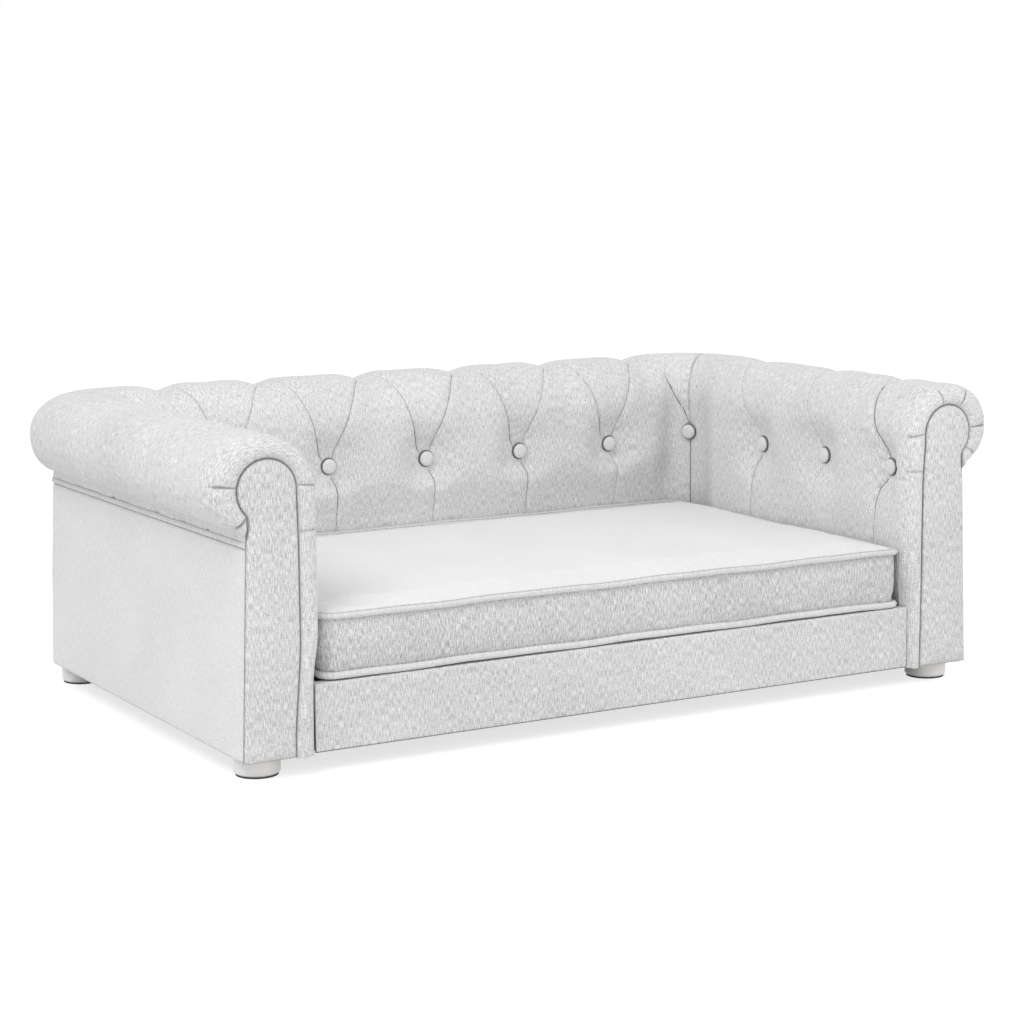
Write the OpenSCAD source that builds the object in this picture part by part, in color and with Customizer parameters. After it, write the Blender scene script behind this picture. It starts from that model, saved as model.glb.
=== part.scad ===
// Dog sofa bed: a low tufted sofa with rolled arms and back, a loose box cushion and four round feet.
// Origin on the floor under the middle of the footprint, +X right, +Y to the back, +Z up.

/* [Overall] */
// Width over the two arm rolls
overall_w = 988; // [940:2:1080]
// Depth from the arm facings to the back roll
overall_d = 589; // [560:1:650]
// Height of the roll crests above the floor
overall_h = 348; // [345:1:360]
// Height of the body's underside above the floor
body_z = 20; // [16:1:26]
// Height of the seat platform above the floor
platform_z = 92; // [86:1:96]

/* [Arms and back] */
// Thickness of an arm or of the back, from its padded inner face to its roll
wall_t = 121; // [119:1:126]
// Radius of the padded inner shoulder
shoulder_r = 60; // [56:1:62]
// Radius of the roll's outer curve
roll_r = 48; // [45:1:49]
// How far an arm's roll stands out past its outer panel
arm_overhang = 39; // [37:0.5:41]
// How far the back's roll stands out past its outer panel
back_overhang = 17.5; // [15:0.5:20]
// How far the body's sides flare out from the seam under the rolls to the underside
body_flare = 8; // [4:1:10]
// Plan radius of the roll at the rear corners
roll_corner_r = 80; // [66:1:84]
// Plan radius of the body at the rear corners
body_corner_r = 12; // [9:1:14]
// Height of the seam under the rolls, below the crests
seam_drop = 107.5; // [105:0.5:111]
// Foam thickness over the inner boards
pad_t = 28; // [27:0.5:30]
// Foam thickness over the top of the roll rail
top_pad_t = 24; // [22:0.5:26]
// Wadding and cloth thickness over the outer panels
cover_t = 6; // [5:0.5:7]

/* [Tufting] */
// Depth of a button below the padded face
tuft_depth = 14; // [9:0.5:15]
// Distance from an arm's inner face to the back's nearest button
back_last = 105; // [97:1:117]
// Distance from the back's inner face to an arm's nearest button
arm_last = 164.5; // [158:0.5:174]
// First arm button behind the facing
arm_first = 49.5; // [46:0.5:54]
// Height of the back's buttons, below the crests
back_button_drop = 106; // [100:1:112]
// Height of the arms' and the corner buttons, below the crests
arm_button_drop = 96; // [92:1:104]
// Diameter of a covered button
button_d = 18.5; // [15:0.5:19.5]
// Dip of the back's crest between two buttons
back_dip = 6.5; // [3:0.5:8]
// Dip of an arm's crest between two buttons
arm_dip = 4.5; // [3:0.5:8]

/* [Cushion] */
// Height of the welt at the cushion's top edge above the platform
top_welt_up = 66.5; // [58:0.5:72]
// Diameter of the cushion's welts
welt_d = 8; // [6:0.5:9]
// How far the cushion's top rises above its top welt
crown_h = 4.5; // [2:0.5:6]
// Plan radius of the cushion's front corners and of its rear ones
cushion_front_r = 16; // [14:1:24]
cushion_rear_r = 27; // [25:1:32]

/* [Feet] */
// Diameter of a foot
foot_d = 48; // [40:1:52]
// Distance from the roll's outer edge to the middle of a foot
foot_side_in = 61; // [60:1:64]
// Distance from the front to the middle of a front foot
foot_front_in = 39.5; // [37.5:0.5:44.5]
// Distance from the back roll's edge to the middle of a rear foot
foot_rear_in = 44.5; // [40.5:0.5:52.5]

/* [Hidden] */
$fn = 48;

// Clearance between pieces that rest against each other
fit = 0.2;
// Overrun of a cut past the faces it goes through
cut = 1;
// Thickness of the inner boards, the outer panels, the front boards and a layer of cloth
board_t = 9;
panel_t = 6;
front_board_t = 12;
cloth_t = 1;
// Height of the top of the boards, where the roll rails sit, below the crests
rail_drop = 86;
// Radius of the roll rail's head
rail_head_r = 30;
// Margin of a facing past the rail's head, and its neck's set-in
facing_margin = 2;
facing_neck_in = 4;
facing_neck_drop = 92;
// Thickness of a facing at its crown, and the gap round it in the arm's front
facing_t = 5.5;
facing_gap = 0.7;
// Depth over which an arm's front edge rounds into its facing
band_d = 22;
// Diameter of the welt under the rolls
roll_welt_d = 7;
// Set-back of the front rail's cover behind the facings, its thickness, and the board's set-in at its ends
rail_setback = 10;
rail_cover_t = 3;
rail_end_in = 1.5;
// Step between the arm's front strip and the pad on the platform
strip_step = 0.5;
// How far the padded faces recede at the platform, on the arms and on the back
arm_recess = 7;
back_recess = 14;
// Heights over which these recesses fade, and how far above the cushion's top welt the back's starts to
arm_recess_h = 58;
back_recess_h = 57;
back_recess_up = 9.5;
// Depth of the tuft in the corners, the padding's inner radius there, and the button's turn from the arm
crease_depth = 15;
corner_inner_r = 24;
corner_button_turn = 30;
// Half width and half height of the flat under a button
tuft_half = 10;
// Widths of a tuft, of a pleat and of a crest dip
tuft_w = 24;
pleat_w = 8;
dip_w = 18;
dip_reach = 60;
// Depth of a pleat
pleat_depth = 5;
// Place of the corner's tuft on each wall, past the inner faces, for the spacing of the scallops
corner_button_in = 15;
// Width of the corner's blend along the wall
corner_blend = 45;

// Pieces of the base
bearer_w = 30;
bearer_x = 130;
ledger_w = 20;
ledger_h = 20;
platform_t = 11;
block_h = 50;
block_l = 60;
bolt_d = 7.6;
bolt_bore_d = 8;
bolt_hole_d = 9;
bolt_bottom_z = 6.2;
bolt_top_z = 55;
glide_t = 2;
glide_d = 44;
foot_edge = 2;

// Buttons
button_t = 6;
button_rim_t = 2.4;

// Cushion
side_gap = 1;
rear_gap = 0.6;
lift_gap = 0.3;
bottom_welt_up = 6.5;
side_draw = 2;
boxing_out = 1;
boxing_step = 3.5;
boxing_flat = 8;
cushion_edge_in = 6;
zip_end_in = 93;
zip_tape_h = 22;
zip_tape_t = 1.2;
slider_w = 9;
slider_h = 12;
slider_t = 2.2;
slider_gap = 0.3;
slider_end_gap = 8;
pull_w = 5;
pull_h = 16;
pull_t = 1.2;

// Main places
half_w = overall_w / 2;
half_d = overall_d / 2;
front_y = -half_d;
inner_x = half_w - wall_t;
inner_y = half_d - wall_t;
top_welt_z = platform_z + top_welt_up;
seam_z = overall_h - seam_drop;
rail_z = overall_h - rail_drop;
facing_neck_z = overall_h - facing_neck_drop;
back_button_z = overall_h - back_button_drop;
arm_button_z = overall_h - arm_button_drop;
back_pitch = (inner_x - back_last) / 2;
arm_pitch = (inner_y - arm_last - front_y - arm_first) / 2;
foot_x = half_w - foot_side_in;
front_foot_y = half_d - foot_front_in;
rear_foot_y = half_d - foot_rear_in;
shoulder_z = overall_h - shoulder_r;
roll_z = overall_h - roll_r;
roll_u = wall_t - roll_r;
rail_head_u = pad_t + rail_head_r;
rail_head_z = overall_h - top_pad_t - rail_head_r;
arm_side_u = wall_t - arm_overhang;
back_side_u = wall_t - back_overhang;
arm_core_u = arm_side_u - cover_t;
back_core_u = back_side_u - cover_t;
tail_z = seam_z + roll_welt_d / 2 + fit;
cover_top_z = seam_z - roll_welt_d / 2 - fit;
facing_y = front_y + facing_t;
board_front_y = facing_y + front_board_t;
platform_y = front_y + band_d + strip_step;
side_board_x = inner_x + arm_core_u;
back_board_y = inner_y + back_core_u;
inner_board_x = inner_x + pad_t;
inner_board_y = inner_y + pad_t;
body_side_x = inner_x + arm_side_u;
body_back_y = inner_y + back_side_u;
under_z = body_z + cloth_t;
crest_v = shoulder_z + shoulder_r * PI / 2;
crest_top_v = crest_v + roll_u - shoulder_r;

// Small helpers
function lerp(a, b, t) = a + (b - a) * t;
function smooth(x) = let (t = max(0, min(1, x))) t * t * (3 - 2 * t);
function bell(x, w) = exp(-(x * x) / (w * w));
function quad(a, b, c, d) = [[a, b, c], [a, c, d]];
function flat(lists) = [for (l = lists) for (e = l) e];

// Stations of the profile, counted from the inner foot of the wall over the roll to its seam
row_shares = [0, 0.28, 0.55, 0.78];
FOOT_ROWS = len(row_shares);
SHOULDER = FOOT_ROWS + 2;
SHOULDER_STEPS = 4;
ROLL = SHOULDER + SHOULDER_STEPS + 1;
ROLL_STEPS = 6;
LOW = ROLL + ROLL_STEPS + 1;
TAIL = LOW + 1;
roll_end_angle = -50;
roll_low_angle = -75;

// Height of an inner face station for a foot at z0 and a button at height bz
function row_z(j, z0, bz) =
    j < FOOT_ROWS ? lerp(z0, bz - tuft_half, row_shares[j])
    : j == FOOT_ROWS ? bz - tuft_half
    : bz + tuft_half;

function shoulder_angle(j) = 180 - 90 * (j - SHOULDER) / SHOULDER_STEPS;
function roll_angle(j) = lerp(90, roll_end_angle, (j - ROLL) / ROLL_STEPS);

// Padded profile without tufts: [distance out, height, inward direction out, inward direction up, run]
function outer_station(j, z0, bz, side_u) =
    j < SHOULDER ? [0, row_z(j, z0, bz), 1, 0, row_z(j, z0, bz)]
    : j < ROLL ? let (a = shoulder_angle(j))
        [shoulder_r + shoulder_r * cos(a), shoulder_z + shoulder_r * sin(a), -cos(a), -sin(a),
         shoulder_z + shoulder_r * (180 - a) * PI / 180]
    : j < LOW ? let (a = roll_angle(j))
        [roll_u + roll_r * cos(a), roll_z + roll_r * sin(a), -cos(a), -sin(a),
         crest_top_v + roll_r * (90 - a) * PI / 180]
    : j == LOW ? [side_u > arm_side_u ? side_u : max(side_u, roll_u + roll_r * cos(roll_low_angle)),
                  roll_z + roll_r * sin(roll_low_angle), -1, 0, crest_top_v + roll_r * PI]
    : [side_u, tail_z, -1, 0, crest_top_v + roll_r * PI];

// Core of boards and rail that the padding lies on: [distance out, height]
core_low_angle = -acos((arm_core_u - rail_head_u) / rail_head_r);
core_break_angle = -8;
core_shoulder_end = 100;
core_roll_start = 80;
function core_angle(j) =
    j < ROLL ? lerp(180, core_shoulder_end, (j - SHOULDER) / SHOULDER_STEPS)
    : lerp(core_roll_start, core_low_angle, (j - ROLL) / ROLL_STEPS);
function core_z(j, z0, bz) =
    j < SHOULDER ? row_z(j, z0, bz)
    : j < LOW ? rail_head_z + rail_head_r * sin(core_angle(j))
    : j == LOW ? rail_z
    : tail_z;
function core_u(j, core_side_u) =
    j < SHOULDER ? pad_t
    : j >= LOW ? core_side_u
    : let (
        on_head = rail_head_u + rail_head_r * cos(core_angle(j)),
        break_z = rail_head_z + rail_head_r * sin(core_break_angle),
        low_z = rail_head_z + rail_head_r * sin(core_low_angle),
        z = rail_head_z + rail_head_r * sin(core_angle(j)),
        break_u = rail_head_u + rail_head_r * cos(core_break_angle)
    ) j < ROLL || z > break_z ? on_head
    : max(on_head, lerp(break_u, core_side_u, (break_z - z) / (break_z - low_z)));

// Outline of the keyhole facing at a pad station, grown by off
function facing_station(j, z0, bz, off) =
    j < SHOULDER ? [rail_head_u - rail_head_r - facing_margin - off, row_z(j, z0, bz)]
    : j < LOW ? let (r = rail_head_r + facing_margin + off)
        [rail_head_u + r * cos(core_angle(j)), rail_head_z + r * sin(core_angle(j))]
    : j == LOW ? [arm_side_u - facing_neck_in + off, facing_neck_z]
    : [arm_side_u, tail_z];

// Depth of the tufting at place s along the wall and run v over the profile
function line_gap(s, v, b, valley, bv) = s - lerp(b, valley, (v - bv) / (crest_v - bv));
function button_dent(s, v, b, bv) =
    let (ds = max(0, abs(s - b) - tuft_half), dv = max(0, abs(v - bv) - tuft_half))
    tuft_depth * exp(-(ds * ds + dv * dv) / (tuft_w * tuft_w));
function pleat_below(s, v, b, bv) = v < bv ? pleat_depth * bell(s - b, pleat_w) : 0;
function pleat_above(s, v, b, valley, bv) =
    v > bv && v < crest_v ? pleat_depth * bell(line_gap(s, v, b, valley, bv), pleat_w) : 0;
function crest_dent(s, v, valley, dip) = dip * bell(s - valley, dip_w) * bell(v - crest_v, dip_reach);
function tufting(s, v, buttons, valleys, bv, dip) = max(concat(
    [0],
    [for (b = buttons) button_dent(s, v, b, bv)],
    [for (b = buttons) pleat_below(s, v, b, bv)],
    [for (b = buttons) for (w = valleys) if (abs(w - b) < back_pitch) pleat_above(s, v, b, w, bv)],
    [for (w = valleys) crest_dent(s, v, w, dip)]
));
function crease(v, bv) = crease_depth * (1 - smooth((v - bv - tuft_half) / (crest_v - bv - tuft_half)));

// How far the padded faces recede towards the platform
function arm_recess_at(z) = arm_recess * (1 - smooth((z - platform_z) / arm_recess_h));
function back_recess_at(z) = back_recess * (1 - smooth((z - top_welt_z - back_recess_up) / back_recess_h));

// Plan radius at the rear corner for a profile station
function corner_r_at(st) =
    st[4] <= crest_top_v || st[1] > roll_z ? lerp(corner_inner_r, roll_corner_r, st[0] / wall_t)
    : lerp(body_corner_r, roll_corner_r, sin(90 * max(0, (st[1] - rail_z) / (roll_z - rail_z))));

// Places along an arm
arm_buttons = [for (i = [0 : 2]) front_y + arm_first + i * arm_pitch];
corner_button_y = inner_y + corner_button_in;
arm_valleys = [
    for (i = [0 : 2]) i < 2 ? arm_buttons[i] + arm_pitch / 2 : (arm_buttons[2] + corner_button_y) / 2
];
// Places along the back
back_buttons = [for (i = [-2 : 2]) i * back_pitch];
corner_button_x = inner_x + corner_button_in;
back_end_valley = (back_buttons[4] + corner_button_x) / 2;
back_valleys = concat([-back_end_valley], [for (i = [-2 : 1]) (i + 0.5) * back_pitch], [back_end_valley]);

// Ring places round a button and the valley after it, dense where the padding is pulled in
between_share = 0.45;
valley_half = 9;
function rings_after(b, valley, next) = [
    b - tuft_half, b, b + tuft_half, lerp(b + tuft_half, valley, between_share), valley - valley_half,
    valley, valley + valley_half, lerp(valley, next - tuft_half, 1 - between_share)
];

// A point of the padded surface: the profile station at place s along the wall, drawn in by the tufts
function tufted(st, dent) = [st[0] + st[2] * dent, st[1] + st[3] * dent];
function arm_dent(s, st, bz) =
    let (near = smooth((s - arm_valleys[2]) / corner_blend))
    (st[4] < crest_v + dip_reach ? 1 : 0) * lerp(
        max(tufting(s, st[4], arm_buttons, arm_valleys, bz, arm_dip) * (st[1] <= platform_z ? 0 : 1),
            st[4] < shoulder_z ? arm_recess_at(st[1]) : 0),
        crease(st[4], bz), near);
function back_dent(s, st, bz) =
    let (near = smooth((abs(s) - back_end_valley) / corner_blend),
         recess = st[4] < shoulder_z ? back_recess_at(st[1]) : 0)
    (st[4] < crest_v + dip_reach ? 1 : 0) * lerp(
        st[1] <= platform_z ? crease_depth
        : max(tufting(s, st[4], back_buttons, back_valleys, bz, back_dip), recess),
        crease(st[4], bz), near);

// Rear corner shared by an arm and the back: a station at turn angle t, 0 on the arm and 90 on the back
tuft_r = corner_inner_r + crease_depth;
function corner_dent(st, t) =
    t <= 45 ? arm_dent(inner_y - corner_inner_r + tuft_r * t * PI / 180, st, arm_button_z)
    : back_dent(inner_x - corner_inner_r + tuft_r * (90 - t) * PI / 180, st, arm_button_z);
function corner_point(j, t) =
    let (
        a = outer_station(j, platform_z, arm_button_z, arm_side_u),
        b = outer_station(j, platform_z, arm_button_z, back_side_u),
        dent = corner_dent(a, t),
        r = corner_r_at(a)
    ) [
        inner_x + a[0] - r + (r + a[2] * dent) * cos(t),
        inner_y + b[0] - r + (r + b[2] * dent) * sin(t),
        a[1] + a[3] * dent
    ];
corner_turn_step = 15;
corner_turns = [0 : corner_turn_step : 45];

// Rings of the arm's padding from its facing to the rear corner
band_depth_shares = [0.25, 0.07, 0.02, 0.09, 0.34, 0.68, 1];
band_out_shares = [0, 0.1, 0.3, 0.6, 0.85, 0.97, 1];
BAND = len(band_depth_shares) - 1;
function band_ring(i) = [
    for (j = [0 : TAIL]) let (
        y = j < TAIL ? front_y + band_d * band_depth_shares[i]
            : lerp(facing_y, front_y + band_d, i / BAND),
        st = outer_station(j, body_z, arm_button_z, arm_side_u),
        f = facing_station(j, body_z, arm_button_z, facing_gap),
        o = tufted(st, arm_dent(y, st, arm_button_z))
    ) [inner_x + lerp(f[0], o[0], band_out_shares[i]), y, lerp(f[1], o[1], band_out_shares[i])]
];
function arm_ring(y) = [
    for (j = [0 : TAIL]) let (
        st = outer_station(j, platform_z, arm_button_z, arm_side_u),
        o = tufted(st, arm_dent(y, st, arm_button_z))
    ) [inner_x + o[0], y, o[1]]
];
arm_ring_places = concat([platform_y], [
    for (i = [0 : 2]) let (next = i < 2 ? arm_buttons[i + 1] : inner_y - corner_inner_r + tuft_half)
        each rings_after(arm_buttons[i], arm_valleys[i], next)
]);
arm_rings = concat(
    [for (i = [0 : len(band_depth_shares) - 1]) band_ring(i)],
    [for (y = arm_ring_places) arm_ring(y)],
    [for (t = corner_turns) [for (j = [0 : TAIL]) corner_point(j, t)]]
);
function arm_core_ring(y, z0) = [
    for (j = [0 : TAIL]) [inner_x + core_u(j, arm_core_u), y, core_z(j, z0, arm_button_z)]
];
corner_core_ring = [
    for (j = [0 : TAIL])
        [inner_x + core_u(j, arm_core_u), inner_y + core_u(j, back_core_u),
         core_z(j, platform_z, arm_button_z)]
];
arm_core_rings = [
    arm_core_ring(facing_y, body_z), arm_core_ring(front_y + band_d, body_z),
    arm_core_ring(platform_y, platform_z), corner_core_ring
];
function arm_core_of(i) =
    i < BAND ? 0 : i == BAND ? 1 : i < len(arm_rings) - 1 ? 2 : 3;

// Rings of the back's padding from its left corner to its right one
function back_button_height(x) =
    let (past = (abs(x) - back_buttons[4]) / (back_end_valley - back_buttons[4]))
    lerp(back_button_z, arm_button_z, smooth(past));
function back_ring(x) = [
    for (j = [0 : TAIL]) let (
        bz = back_button_height(x),
        st = outer_station(j, platform_z, bz, back_side_u),
        o = tufted(st, back_dent(x, st, bz))
    ) [x, inner_y + o[0], o[1]]
];
function left_of(ring) = [for (p = ring) [-p[0], p[1], p[2]]];
last_rings = rings_after(back_buttons[4], back_end_valley, corner_button_x);
back_ring_places = concat(
    [for (i = [len(last_rings) - 2 : -1 : 3]) -last_rings[i]],
    [for (i = [0 : 3]) each rings_after(back_buttons[i], back_valleys[i + 1], back_buttons[i + 1])],
    [for (i = [0 : len(last_rings) - 2]) last_rings[i]]
);
function back_turn(t) = [for (j = [0 : TAIL]) corner_point(j, 90 - t)];
back_rings = concat(
    [for (t = [45 : -corner_turn_step : 0]) left_of(back_turn(t))],
    [for (x = back_ring_places) back_ring(x)],
    [for (t = corner_turns) back_turn(t)]
);
back_core_rings = [left_of(corner_core_ring), corner_core_ring];
function back_core_of(i) = i < len(back_rings) - 1 ? 0 : 1;

// Faces of a pad: outer rings, a coarse inner skin, two end caps and the strips along foot and seam
function pad_faces(rings, cores, of_ring) =
    let (
        w = TAIL + 1,
        n = len(rings) - 1,
        c = len(rings) * w,
        k = len(cores) - 1
    ) flat(concat(
        [for (i = [0 : n - 1]) for (j = [0 : TAIL - 1])
            quad(i * w + j, i * w + j + 1, (i + 1) * w + j + 1, (i + 1) * w + j)],
        [for (m = [0 : k - 1]) for (j = [0 : TAIL - 1])
            quad(c + m * w + j, c + (m + 1) * w + j, c + (m + 1) * w + j + 1, c + m * w + j + 1)],
        [for (j = [0 : TAIL - 1]) quad(j, c + j, c + j + 1, j + 1)],
        [for (j = [0 : TAIL - 1])
            quad(n * w + j, n * w + j + 1, c + k * w + j + 1, c + k * w + j)],
        [for (i = [0 : n - 1]) let (a = c + of_ring[i] * w, b = c + of_ring[i + 1] * w) concat(
            [[i * w, (i + 1) * w, a]],
            a == b ? [] : [[(i + 1) * w, b, a]],
            [[(i + 1) * w + TAIL, i * w + TAIL, a + TAIL]],
            a == b ? [] : [[(i + 1) * w + TAIL, a + TAIL, b + TAIL]]
        )]
    ));
module pad(rings, cores, of_ring)
    polyhedron(points = flat(concat(rings, cores)), faces = pad_faces(rings, cores, of_ring));

// Faces of a stack of closed loops of n points, closed by strips between paired points
function cap_faces(c, n, flip) = [
    for (f = concat(
        [[0, 1, n - 1]],
        [for (i = [1 : n / 2 - 2]) each quad(i, i + 1, n - i - 1, n - i)],
        [[n / 2 - 1, n / 2, n / 2 + 1]]
    )) flip ? [c + f[2], c + f[1], c + f[0]] : [c + f[0], c + f[1], c + f[2]]
];
module stack(loops, flip = false) {
    n = len(loops[0]);
    last = len(loops) - 1;
    sides = [for (a = [0 : last - 1]) for (i = [0 : n - 1])
        each quad(a * n + i, a * n + (i + 1) % n, (a + 1) * n + (i + 1) % n, (a + 1) * n + i)];
    faces = concat(sides, cap_faces(0, n, true), cap_faces(last * n, n, false));
    polyhedron(points = flat(loops), faces = flip ? [for (f = faces) [f[2], f[1], f[0]]] : faces);
}

// Closed tube along a closed path of [x, y, out x, out y] at height z
TUBE_SIDES = 6;
module ring_tube(path, d, z) {
    n = len(path);
    m = TUBE_SIDES;
    points = [for (p = path) for (k = [0 : m - 1]) let (a = (k + 0.5) * 360 / m)
        [p[0] + p[2] * cos(a) * d / 2, p[1] + p[3] * cos(a) * d / 2, z + sin(a) * d / 2]];
    faces = [for (i = [0 : n - 1]) for (k = [0 : m - 1]) let (i2 = (i + 1) % n, k2 = (k + 1) % m)
        each quad(i * m + k, i * m + k2, i2 * m + k2, i2 * m + k)];
    polyhedron(points = points, faces = faces);
}

// Box between two corners
module board(low, high) translate(low) cube(high - low);
module mirrored(left) mirror([left ? 1 : 0, 0, 0]) children();

// Base
module seat_platform() color("burlywood")
    board([-inner_board_x, platform_y, platform_z - cloth_t - platform_t],
          [inner_board_x, inner_board_y, platform_z - cloth_t]);
module platform_cloth() color("silver")
    board([-inner_board_x, platform_y, platform_z - cloth_t], [inner_board_x, inner_board_y, platform_z]);
module cross_bearers() color("peru")
    for (x = [-bearer_x, bearer_x])
        board([x - bearer_w / 2, platform_y, under_z],
              [x + bearer_w / 2, inner_board_y, platform_z - cloth_t - platform_t]);
module ledger_strips() color("peru")
    for (left = [false, true]) mirrored(left)
        board([inner_board_x - ledger_w, platform_y, platform_z - cloth_t - platform_t - ledger_h],
              [inner_board_x, inner_board_y, platform_z - cloth_t - platform_t]);
rail_board_x = inner_x + arm_recess - rail_end_in;
module front_rail() color("burlywood")
    board([-rail_board_x, front_y + rail_setback + rail_cover_t, under_z],
          [rail_board_x, front_y + band_d, platform_z - cloth_t]);
module front_rail_cover() color("lightgray") {
    x = inner_x + arm_recess;
    y = front_y + rail_setback;
    board([-x, y, body_z], [x, y + rail_cover_t, platform_z]);
    board([-rail_board_x, y, platform_z - cloth_t], [rail_board_x, front_y + band_d, platform_z]);
}

// Boards of the back and the arms
module back_inner_board() color("burlywood")
    board([-(side_board_x - panel_t), inner_board_y, under_z],
          [side_board_x - panel_t, inner_board_y + board_t, rail_z]);
module back_outer_board() color("burlywood")
    board([-(side_board_x - panel_t), back_board_y - panel_t, under_z],
          [side_board_x - panel_t, back_board_y, rail_z]);
module inner_board() color("burlywood")
    board([inner_board_x, board_front_y, under_z], [inner_board_x + board_t, inner_board_y, rail_z]);
module outer_board() color("burlywood")
    board([side_board_x - panel_t, board_front_y, under_z],
          [side_board_x, back_board_y - panel_t, rail_z]);
module left_inner_board() mirrored(true) inner_board();
module right_inner_board() inner_board();
module left_outer_board() mirrored(true) outer_board();
module right_outer_board() outer_board();
module front_board() color("burlywood")
    translate([inner_x, board_front_y, 0]) rotate([90, 0, 0]) linear_extrude(front_board_t)
        polygon(concat(
            [[pad_t, under_z]],
            [for (j = [SHOULDER : LOW]) [core_u(j, arm_core_u), core_z(j, body_z, arm_button_z)]],
            [[arm_core_u, under_z]]
        ));
module left_front_board() mirrored(true) front_board();
module right_front_board() front_board();

// Rails inside the rolls, mitred at the rear corners
function rail_loop(ring, foot) = concat([foot], [for (j = [SHOULDER : LOW]) ring[j]]);
arm_rail_loops = [
    rail_loop(arm_core_ring(board_front_y, platform_z), [inner_board_x, board_front_y, rail_z]),
    rail_loop(corner_core_ring, [inner_board_x, inner_board_y, rail_z])
];
module arm_roll_rail() color("tan") stack(arm_rail_loops);
module left_roll_rail() mirrored(true) arm_roll_rail();
module right_roll_rail() arm_roll_rail();
module back_roll_rail() color("tan") stack([left_of(arm_rail_loops[1]), arm_rail_loops[1]]);

// Corner blocks that take the feet's bolts
module corner_block(y0, y1, bolt_y) color("peru") difference() {
    board([inner_board_x + board_t, y0, under_z], [side_board_x - panel_t, y1, under_z + block_h]);
    translate([foot_x, bolt_y, under_z - cut]) cylinder(h = block_h + 2 * cut, d = bolt_bore_d);
}
module front_block() corner_block(board_front_y, board_front_y + block_l, -front_foot_y);
module rear_block() corner_block(inner_board_y + board_t, back_board_y - panel_t, rear_foot_y);
module front_left_block() mirrored(true) front_block();
module front_right_block() front_block();
module rear_left_block() mirrored(true) rear_block();
module rear_right_block() rear_block();

// Tufted padding
arm_core_map = [for (i = [0 : len(arm_rings) - 1]) arm_core_of(i)];
back_core_map = [for (i = [0 : len(back_rings) - 1]) back_core_of(i)];
module arm_pad() color("gainsboro") pad(arm_rings, arm_core_rings, arm_core_map);
module left_arm_pad() mirrored(true) arm_pad();
module right_arm_pad() arm_pad();
module back_pad() color("gainsboro") pad(back_rings, back_core_rings, back_core_map);

// Flat covers over the outer panels
module side_cover() color("whitesmoke")
    translate([0, back_board_y - panel_t, 0]) rotate([90, 0, 0])
        linear_extrude(back_board_y - panel_t - facing_y) polygon([
            [side_board_x, body_z], [body_side_x + body_flare, body_z],
            [body_side_x, cover_top_z], [side_board_x, cover_top_z]
        ]);
module left_side_cover() mirrored(true) side_cover();
module right_side_cover() side_cover();
module corner_plan(x, y, r, foot_y) hull() {
    for (side = [-1, 1]) translate([side * (x - r), y - r]) circle(r);
    translate([-x, foot_y]) square([2 * x, cut]);
}
module back_cover() color("whitesmoke") {
    corner_y = back_board_y - panel_t;
    low_x = body_side_x + body_flare;
    difference() {
        translate([0, 0, body_z]) linear_extrude(cover_top_z - body_z, scale = [body_side_x / low_x, 1])
            corner_plan(low_x, body_back_y, body_corner_r, corner_y - 2 * cut);
        translate([0, 0, body_z - cut]) linear_extrude(cover_top_z - body_z + 2 * cut) {
            corner_plan(side_board_x, back_board_y, body_corner_r - cover_t, corner_y - 3 * cut);
            translate([-half_w, corner_y - body_corner_r]) square([overall_w, body_corner_r]);
        }
    }
}

// Keyhole facings on the arm fronts: crowned panels
facing_side_shares = [0, 0.27, 0.53, 0.8, 1];
facing_outer_angles = [-53, -25, 0, 22.5, 45, 67.5];
facing_inner_angles = [180, 165, 150, 130, 110];
function facing_loop(off, y) = let (
    r = rail_head_r + facing_margin + off,
    inner_u = rail_head_u - r,
    outer_u = arm_side_u + off,
    foot = body_z - off,
    head = function (a) [inner_x + rail_head_u + r * cos(a), y, rail_head_z + r * sin(a)]
) concat(
    [for (s = facing_side_shares) [inner_x + inner_u, y, lerp(foot, tail_z, s)]],
    [[inner_x + inner_u, y, (tail_z + rail_head_z) / 2]],
    [for (a = facing_inner_angles) head(a)],
    [head(90)],
    [for (i = [len(facing_outer_angles) - 1 : -1 : 0]) head(facing_outer_angles[i])],
    [[inner_x + arm_side_u - facing_neck_in + off, y, facing_neck_z]],
    [for (i = [len(facing_side_shares) - 1 : -1 : 0])
        let (share = facing_side_shares[i])
        [inner_x + outer_u + lerp(body_flare, 0, share), y, lerp(foot, tail_z, share)]]
);
facing_in_shares = [0, 0, -0.15, -0.5, -1];
facing_out_shares = [0, 0.5, 0.8, 0.95, 1];
facing_crown_in = 15;
module facing() color("lightgray") stack([
    for (i = [0 : len(facing_in_shares) - 1])
        facing_loop(facing_in_shares[i] * facing_crown_in, facing_y - facing_out_shares[i] * facing_t)
]);
module left_facing() mirrored(true) facing();
module right_facing() facing();

// Welts in the seams under the rolls
welt_x = side_board_x + fit + roll_welt_d / 2;
welt_y = back_board_y + fit + roll_welt_d / 2;
welt_turn_r = body_corner_r - cover_t + fit + roll_welt_d / 2;
welt_turn_x = welt_x - welt_turn_r;
welt_turn_y = welt_y - welt_turn_r;
module arm_welt() color("lightgray")
    translate([welt_x, facing_y, seam_z]) rotate([-90, 0, 0])
        cylinder(h = welt_turn_y - facing_y, d = roll_welt_d);
module left_arm_welt() mirrored(true) arm_welt();
module right_arm_welt() arm_welt();
module back_welt() color("lightgray") {
    translate([-welt_turn_x, welt_y, seam_z]) rotate([0, 90, 0])
        cylinder(h = 2 * welt_turn_x, d = roll_welt_d);
    for (left = [false, true]) mirrored(left) translate([welt_turn_x, welt_turn_y, seam_z])
        rotate_extrude(angle = 90) translate([welt_turn_r, 0]) circle(d = roll_welt_d);
}

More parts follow.
